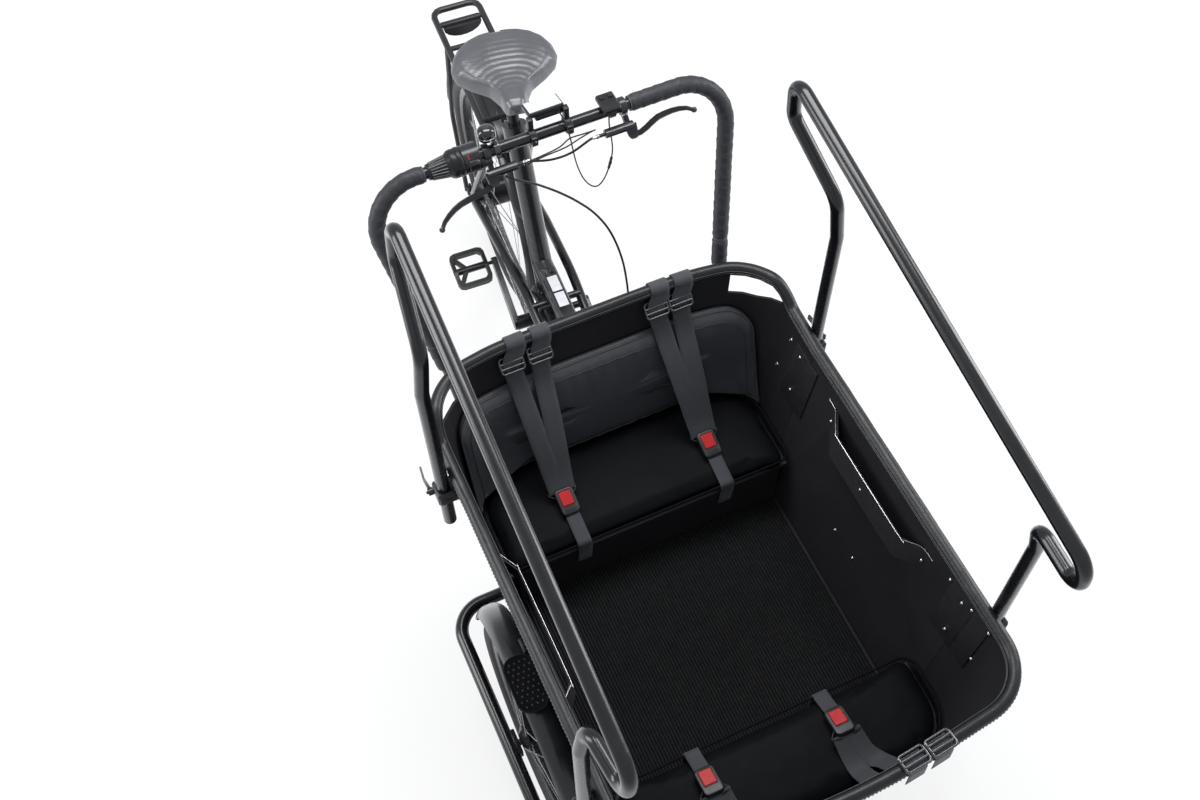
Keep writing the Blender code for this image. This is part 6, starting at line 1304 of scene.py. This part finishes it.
bell_place = turned_to((-0.111, BAR_Y + 0.008, BAR_Z + 0.0195), x=-12)
bm = bmesh.new()
lathe_in(bm, [(0.0, 0.0302), (0.004, 0.030), (0.009, 0.0288), (0.0135, 0.0262), (0.0158, 0.0228), (0.0165, 0.019),
              (0.0165, 0.0075), (0.0155, 0.005), (0.0135, 0.004), (0.0, 0.004)], bell_place)
ring_in(bm, [(RING_BORE, -0.005), (0.0145, -0.005), (0.0145, 0.005), (RING_BORE, 0.005)],
        turned_to((-0.100, BAR_Y, BAR_Z), y=90), 40)
rod_in(bm, (-0.100, BAR_Y, BAR_Z + 0.0125), (-0.107, BAR_Y + 0.005, BAR_Z + 0.0280), 0.0050, 16)
piece("bell_body", bm, "gloss_black_plastic", takes=("bell",))
bm = bmesh.new()
ring_in(bm, [(0.0163, 0.0100), (0.0168, 0.0102), (0.0168, 0.0112), (0.0163, 0.0114)], bell_place, 48)
block_in(bm, (0.004, 0.010, 0.003), bell_place @ Matrix.Translation((0, -0.0165, 0.0085)), 0.0008)
piece("bell_ring", bm, "steel", takes=("bell",))
print("shifter ribs", 20)

# %% [markdown]
# The screen stands on two clamps. Every clamp on the bar shows the heads of its bolts.

# %% Screen and bolts
SCREEN_CLAMPS = (-0.031, 0.038)
screen_place = turned_to(screen_at, x=-14)
bm = bmesh.new()
block_in(bm, (0.068, 0.040, 0.0115), screen_place, 0.0035, 3)
block_in(bm, (0.052, 0.030, 0.011), screen_place @ Matrix.Translation((0.004, -0.003, -0.0095)), 0.0025)
for x in SCREEN_CLAMPS:
    ring_in(bm, [(RING_BORE, -0.006), (0.015, -0.006), (0.0155, -0.005), (0.0155, 0.005), (0.015, 0.006),
                 (RING_BORE, 0.006)], turned_to((x, BAR_Y, BAR_Z), y=90), 36)
    block_in(bm, (0.010, 0.012, 0.036), (x, BAR_Y + 0.006, BAR_Z + 0.022), 0.0015)
    block_in(bm, (0.012, 0.008, 0.020), (x, BAR_Y - 0.013, BAR_Z + 0.001), 0.0015)
piece("display_body", bm, "black_plastic", takes=("display",), sharp=35)
bm = bmesh.new()
block_in(bm, (0.062, 0.0345, 0.0012), screen_place @ Matrix.Translation((0, 0.0, 0.0056)), 0.0005)
piece("screen_face", bm, "screen_glass", takes=("display",))


def bolt_in(bm, spot, way, radius=0.0028, height=0.0022):
    """A bolt head with a socket, standing on a spot along a direction."""
    lathe_in(bm, [(0.0, height * 0.35), (radius * 0.45, height * 0.35), (radius * 0.50, height),
                  (radius * 0.85, height), (radius, height * 0.7), (radius, 0.0), (0.0, 0.0)], facing(spot, way), 18)


bm = bmesh.new()
for x, side in ((0.144, 1), (-0.120, -1)):
    for shift in (-0.003, 0.003):
        bolt_in(bm, in_plane(x + shift, 0.0165, 0.004), ACROSS, 0.0024)
    bolt_in(bm, in_plane(x + side * 0.004, 0.0555, -0.0052), -ACROSS, 0.0040, 0.0018)
    for shift in (0.010, 0.032):
        bolt_in(bm, in_plane(x - side * shift, 0.038, -0.0092), -ACROSS, 0.0030, 0.0015)
piece("brake_bolts", bm, "polished", takes=("brake_mount_left", "brake_mount_right"))
bm = bmesh.new()
for x in SCREEN_CLAMPS:
    bolt_in(bm, (x, BAR_Y - 0.0150, BAR_Z + 0.001), (0, -1, 0), 0.0026)
piece("display_bolts", bm, "polished", takes=("display",))
print("screen at", screen_at)

# %% [markdown]
# The battery has two bare label fields, and the shifter's mount has a small red mark for its gears.

# %% Labels and gear mark
bm = bmesh.new()
for y0, y1 in ((0.778, 0.818), (0.823, 0.866)):
    block_in(bm, (0.023, y1 - y0, 0.0006), (0.0, (y0 + y1) / 2, 0.4413), 0.0002)
piece("label_fields", bm, "pale_label", "battery", takes=("battery",))
bm = bmesh.new()
block_in(bm, (0.0016, 0.0090, 0.0012), turned_to((-0.1565, BAR_Y - 0.0165, BAR_Z + 0.0212), x=38), 0.0004)
piece("gear_mark", bm, "red_plastic", takes=("brake_mount_right",))
print("label fields", 2)


# %% [markdown]
# The mudguards are rolled channels round the wheels. The front ones carry flat step plates with raised
# dots in offset rows.

# %% Mudguards and step plates
def rolled(name, centre, radius, first, last, width, body, takes):
    """A mudguard: a thin round channel over an arc, with angles from the front."""
    half, steps = width / 2, 60
    shares = [sin(radians(-90 + 180 * k / 20)) for k in range(21)]
    section = [(half * u, 0.0155 * abs(u) ** 3.2) for u in shares]
    section += [((half - 0.0016) * u, 0.0155 * abs(u) ** 3.2 + 0.0018) for u in reversed(shares)]

    def spot(i, k):
        x, drop = section[k]
        angle = radians(mix(first, last, i / steps))
        end = min(i, steps - i) * radius * radians(abs(last - first)) / steps
        x *= 1 - 0.35 * (1 - smooth(end / 0.020)) ** 2
        reach = radius - drop
        return Vector((centre[0] + x, centre[1] - reach * cos(angle), centre[2] + reach * sin(angle)))

    bm = lofted([[spot(i, k) for k in range(len(section))] for i in range(steps + 1)])
    piece(name, bm, "guard_plastic", body, takes=takes, sharp=50)


def on_guard(name, bm, look, takes, body="box", sharp=40):
    piece(name, bm, look, body, takes=takes, sharp=sharp)


plate = rounded_rectangle(0.062, 0.116, 0.026, 12)
PLATE_RINGS = ((0.0012, -0.0060), (0.0, -0.0050), (0.0, -0.0022), (0.0010, -0.0010), (0.0030, -0.0008),
               (0.0036, -0.0014), (0.0060, -0.0016))
reach = wall_x(0.531) + WALL / 2 + 0.0006
bracket_y = AXLE_Y + 0.072
for side, name in SIDES:
    node = ("mudguard_front_" + name,)
    rolled("guard_" + name, (side * FRONT_WHEEL_X, AXLE_Y, FRONT_RADIUS), 0.278, 25, 170, 0.059, "box", node)
    centre = Vector((side * 0.381, AXLE_Y, 0.550))
    bm = lofted([[centre + Vector((p.x, p.y, z)) for p in drawn_in(plate, inset)] for inset, z in PLATE_RINGS])
    block_in(bm, (0.030, 0.050, 0.023), (side * FRONT_WHEEL_X, AXLE_Y, 0.5355), 0.003)
    block_in(bm, (FRONT_WHEEL_X - reach, 0.034, 0.004), (side * (FRONT_WHEEL_X + reach) / 2, AXLE_Y, 0.5302), 0.0008)
    on_guard("step_plate_" + name, bm, "mat_rubber", node)
    bm = bmesh.new()
    for row in range(9):
        for column in range(5 if row % 2 else 4):
            x, y = (column - (2.0 if row % 2 else 1.5)) * 0.0105, (row - 4) * 0.0108
            if abs(x) < 0.024 and Vector((max(abs(x) - 0.012, 0), max(abs(y) - 0.036, 0))).length < 0.015:
                lathe_in(bm, [(0.0, 0.0014), (0.0012, 0.0012), (0.0022, 0.0004), (0.0024, -0.0004), (0.0, -0.0004)],
                         Matrix.Translation((centre.x + x, centre.y + y, 0.5486)), 12)
    on_guard("step_dots_" + name, bm, "black_plastic", node, sharp=60)
    bm = bmesh.new()
    block_in(bm, (0.004, 0.034, 0.012), (side * (reach + 0.0006), bracket_y, 0.540), 0.0008)
    rod_in(bm, (side * (reach + 0.002), bracket_y, 0.540), (side * (reach + 0.020), bracket_y, 0.540), 0.0045, 16)
    block_in(bm, (0.006, 0.030, 0.010), (side * (reach + 0.020), bracket_y, 0.540), 0.0015)
    on_guard("guard_bracket_" + name, bm, "satin_black_paint", node)
rolled("guard_rear", REAR_AXLE, 0.329, 36, 178, 0.062, "rear", ("mudguard_rear",))
bm = bmesh.new()
hanger_low, hanger_top = REAR_AXLE.z + sqrt(0.329 ** 2 - 0.100 ** 2) - 0.003, 0.6918
block_in(bm, (0.020, 0.010, hanger_top - hanger_low), (0, 1.370, (hanger_top + hanger_low) / 2), 0.001)
on_guard("guard_hanger", bm, "satin_black_paint", ("mudguard_rear",), "rear")
print("step plate centre", centre)

# %% [markdown]
# Small bright screws hold the plates and the grab strips to the walls. Along each strip's upper edge runs a
# thin bright steel rod as a painted highlight, and it follows the strip's bends. Each screw below is a place
# along the box, a height and its distance from the wall.

# %% Wall screws and painted highlights on the strips
def wall_point(y, z, off):
    """A point on a side wall's inner face, moved off it, on the +X side."""
    return Vector((max(p.x for p in crossings(outline_at(z, WALL / 2), 1, y)) - off, y, z))


screws = {"panel_rear": ((0.354, 0.601, 0.0002), (0.340, 0.698, 0.0002), (0.2975, 0.6957, 0.0035),
                         (0.2917, 0.596, 0.0035)),
          "panel_front": ((-0.3056, 0.726, 0.0035), (-0.3555, 0.732, 0.0035), (-0.3573, 0.631, 0.0005)),
          "panel_side": ((-0.2373, 0.7156, 0.0003), (-0.2837, 0.715, 0.0055), (-0.2857, 0.617, 0.0055),
                         (0.0358, 0.4447, 0.0002), (-0.0326, 0.4449, 0.0002), (0.1588, 0.665, 0.0030),
                         (0.0037, 0.670, 0.0300), (-0.169, 0.672, 0.0030))}
strip = ((0.186, 0.0015), (0.160, 0.003), (0.148, 0.010), (0.112, 0.029), (0.098, 0.031), (-0.118, 0.031),
         (-0.132, 0.027), (-0.152, 0.008), (-0.166, 0.003), (-0.190, 0.0015))
for side, name in SIDES:
    for group, spots in screws.items():
        bm = bmesh.new()
        for y, z, off in spots:
            spot = wall_point(y, z, off)
            run_y = wall_point(y + 0.01, z, off) - wall_point(y - 0.01, z, off)
            run_z = wall_point(y, z + 0.01, off) - wall_point(y, z - 0.01, off)
            way = run_z.normalized().cross(run_y.normalized())
            way *= -1 if way.x > 0 else 1
            spot.x *= side
            way.x *= side
            lathe_in(bm, [(0.0, 0.0010), (0.0014, 0.0010), (0.0016, 0.0020), (0.0030, 0.0018), (0.0040, 0.0008),
                          (0.0042, 0.0), (0.0, 0.0)], facing(spot, way), 20)
        node = "panel_" + name if group == "panel_side" else group
        piece("screws_%s_%s" % (group, name), bm, "polished", takes=(node,))
    # The strip's highlight is painted with a thin steel rod on its upper edge.
    edge = smooth_route([(side * (wall_x(0.703) - WALL / 2 - off), y, 0.703) for y, off in strip], 0.004)
    bent_tube("strip_highlight_" + name, edge, 0.0008, "steel", takes=("panel_" + name,), sides=3)
print("screws on one side", sum(len(spots) for spots in screws.values()))

# %% [markdown]
# Dark cover plates lie over the wall seams, behind the screws.

# %% Seam covers
for node, z, covers in (("panel_front", 0.665, ((0.050, -0.330, 0.0008), (0.066, -0.278, 0.0018))),
                        ("panel_rear", 0.640, ((0.050, 0.295, 0.0008), (0.040, 0.257, 0.0018)))):
    bm = bmesh.new()
    for wide, y, depth in covers:
        x = wall_x(z) - (WALL / 2 + depth + 0.0003) / cos(WALL_TILT)
        for side in (1, -1):
            block_in(bm, (0.0030, wide, 0.150), turned_to((side * x, y, z), y=side * degrees(WALL_TILT)), 0.0006)
    piece("seam_cover_" + node, bm, "satin_black_paint", takes=(node,))
print("seam covers on", node)
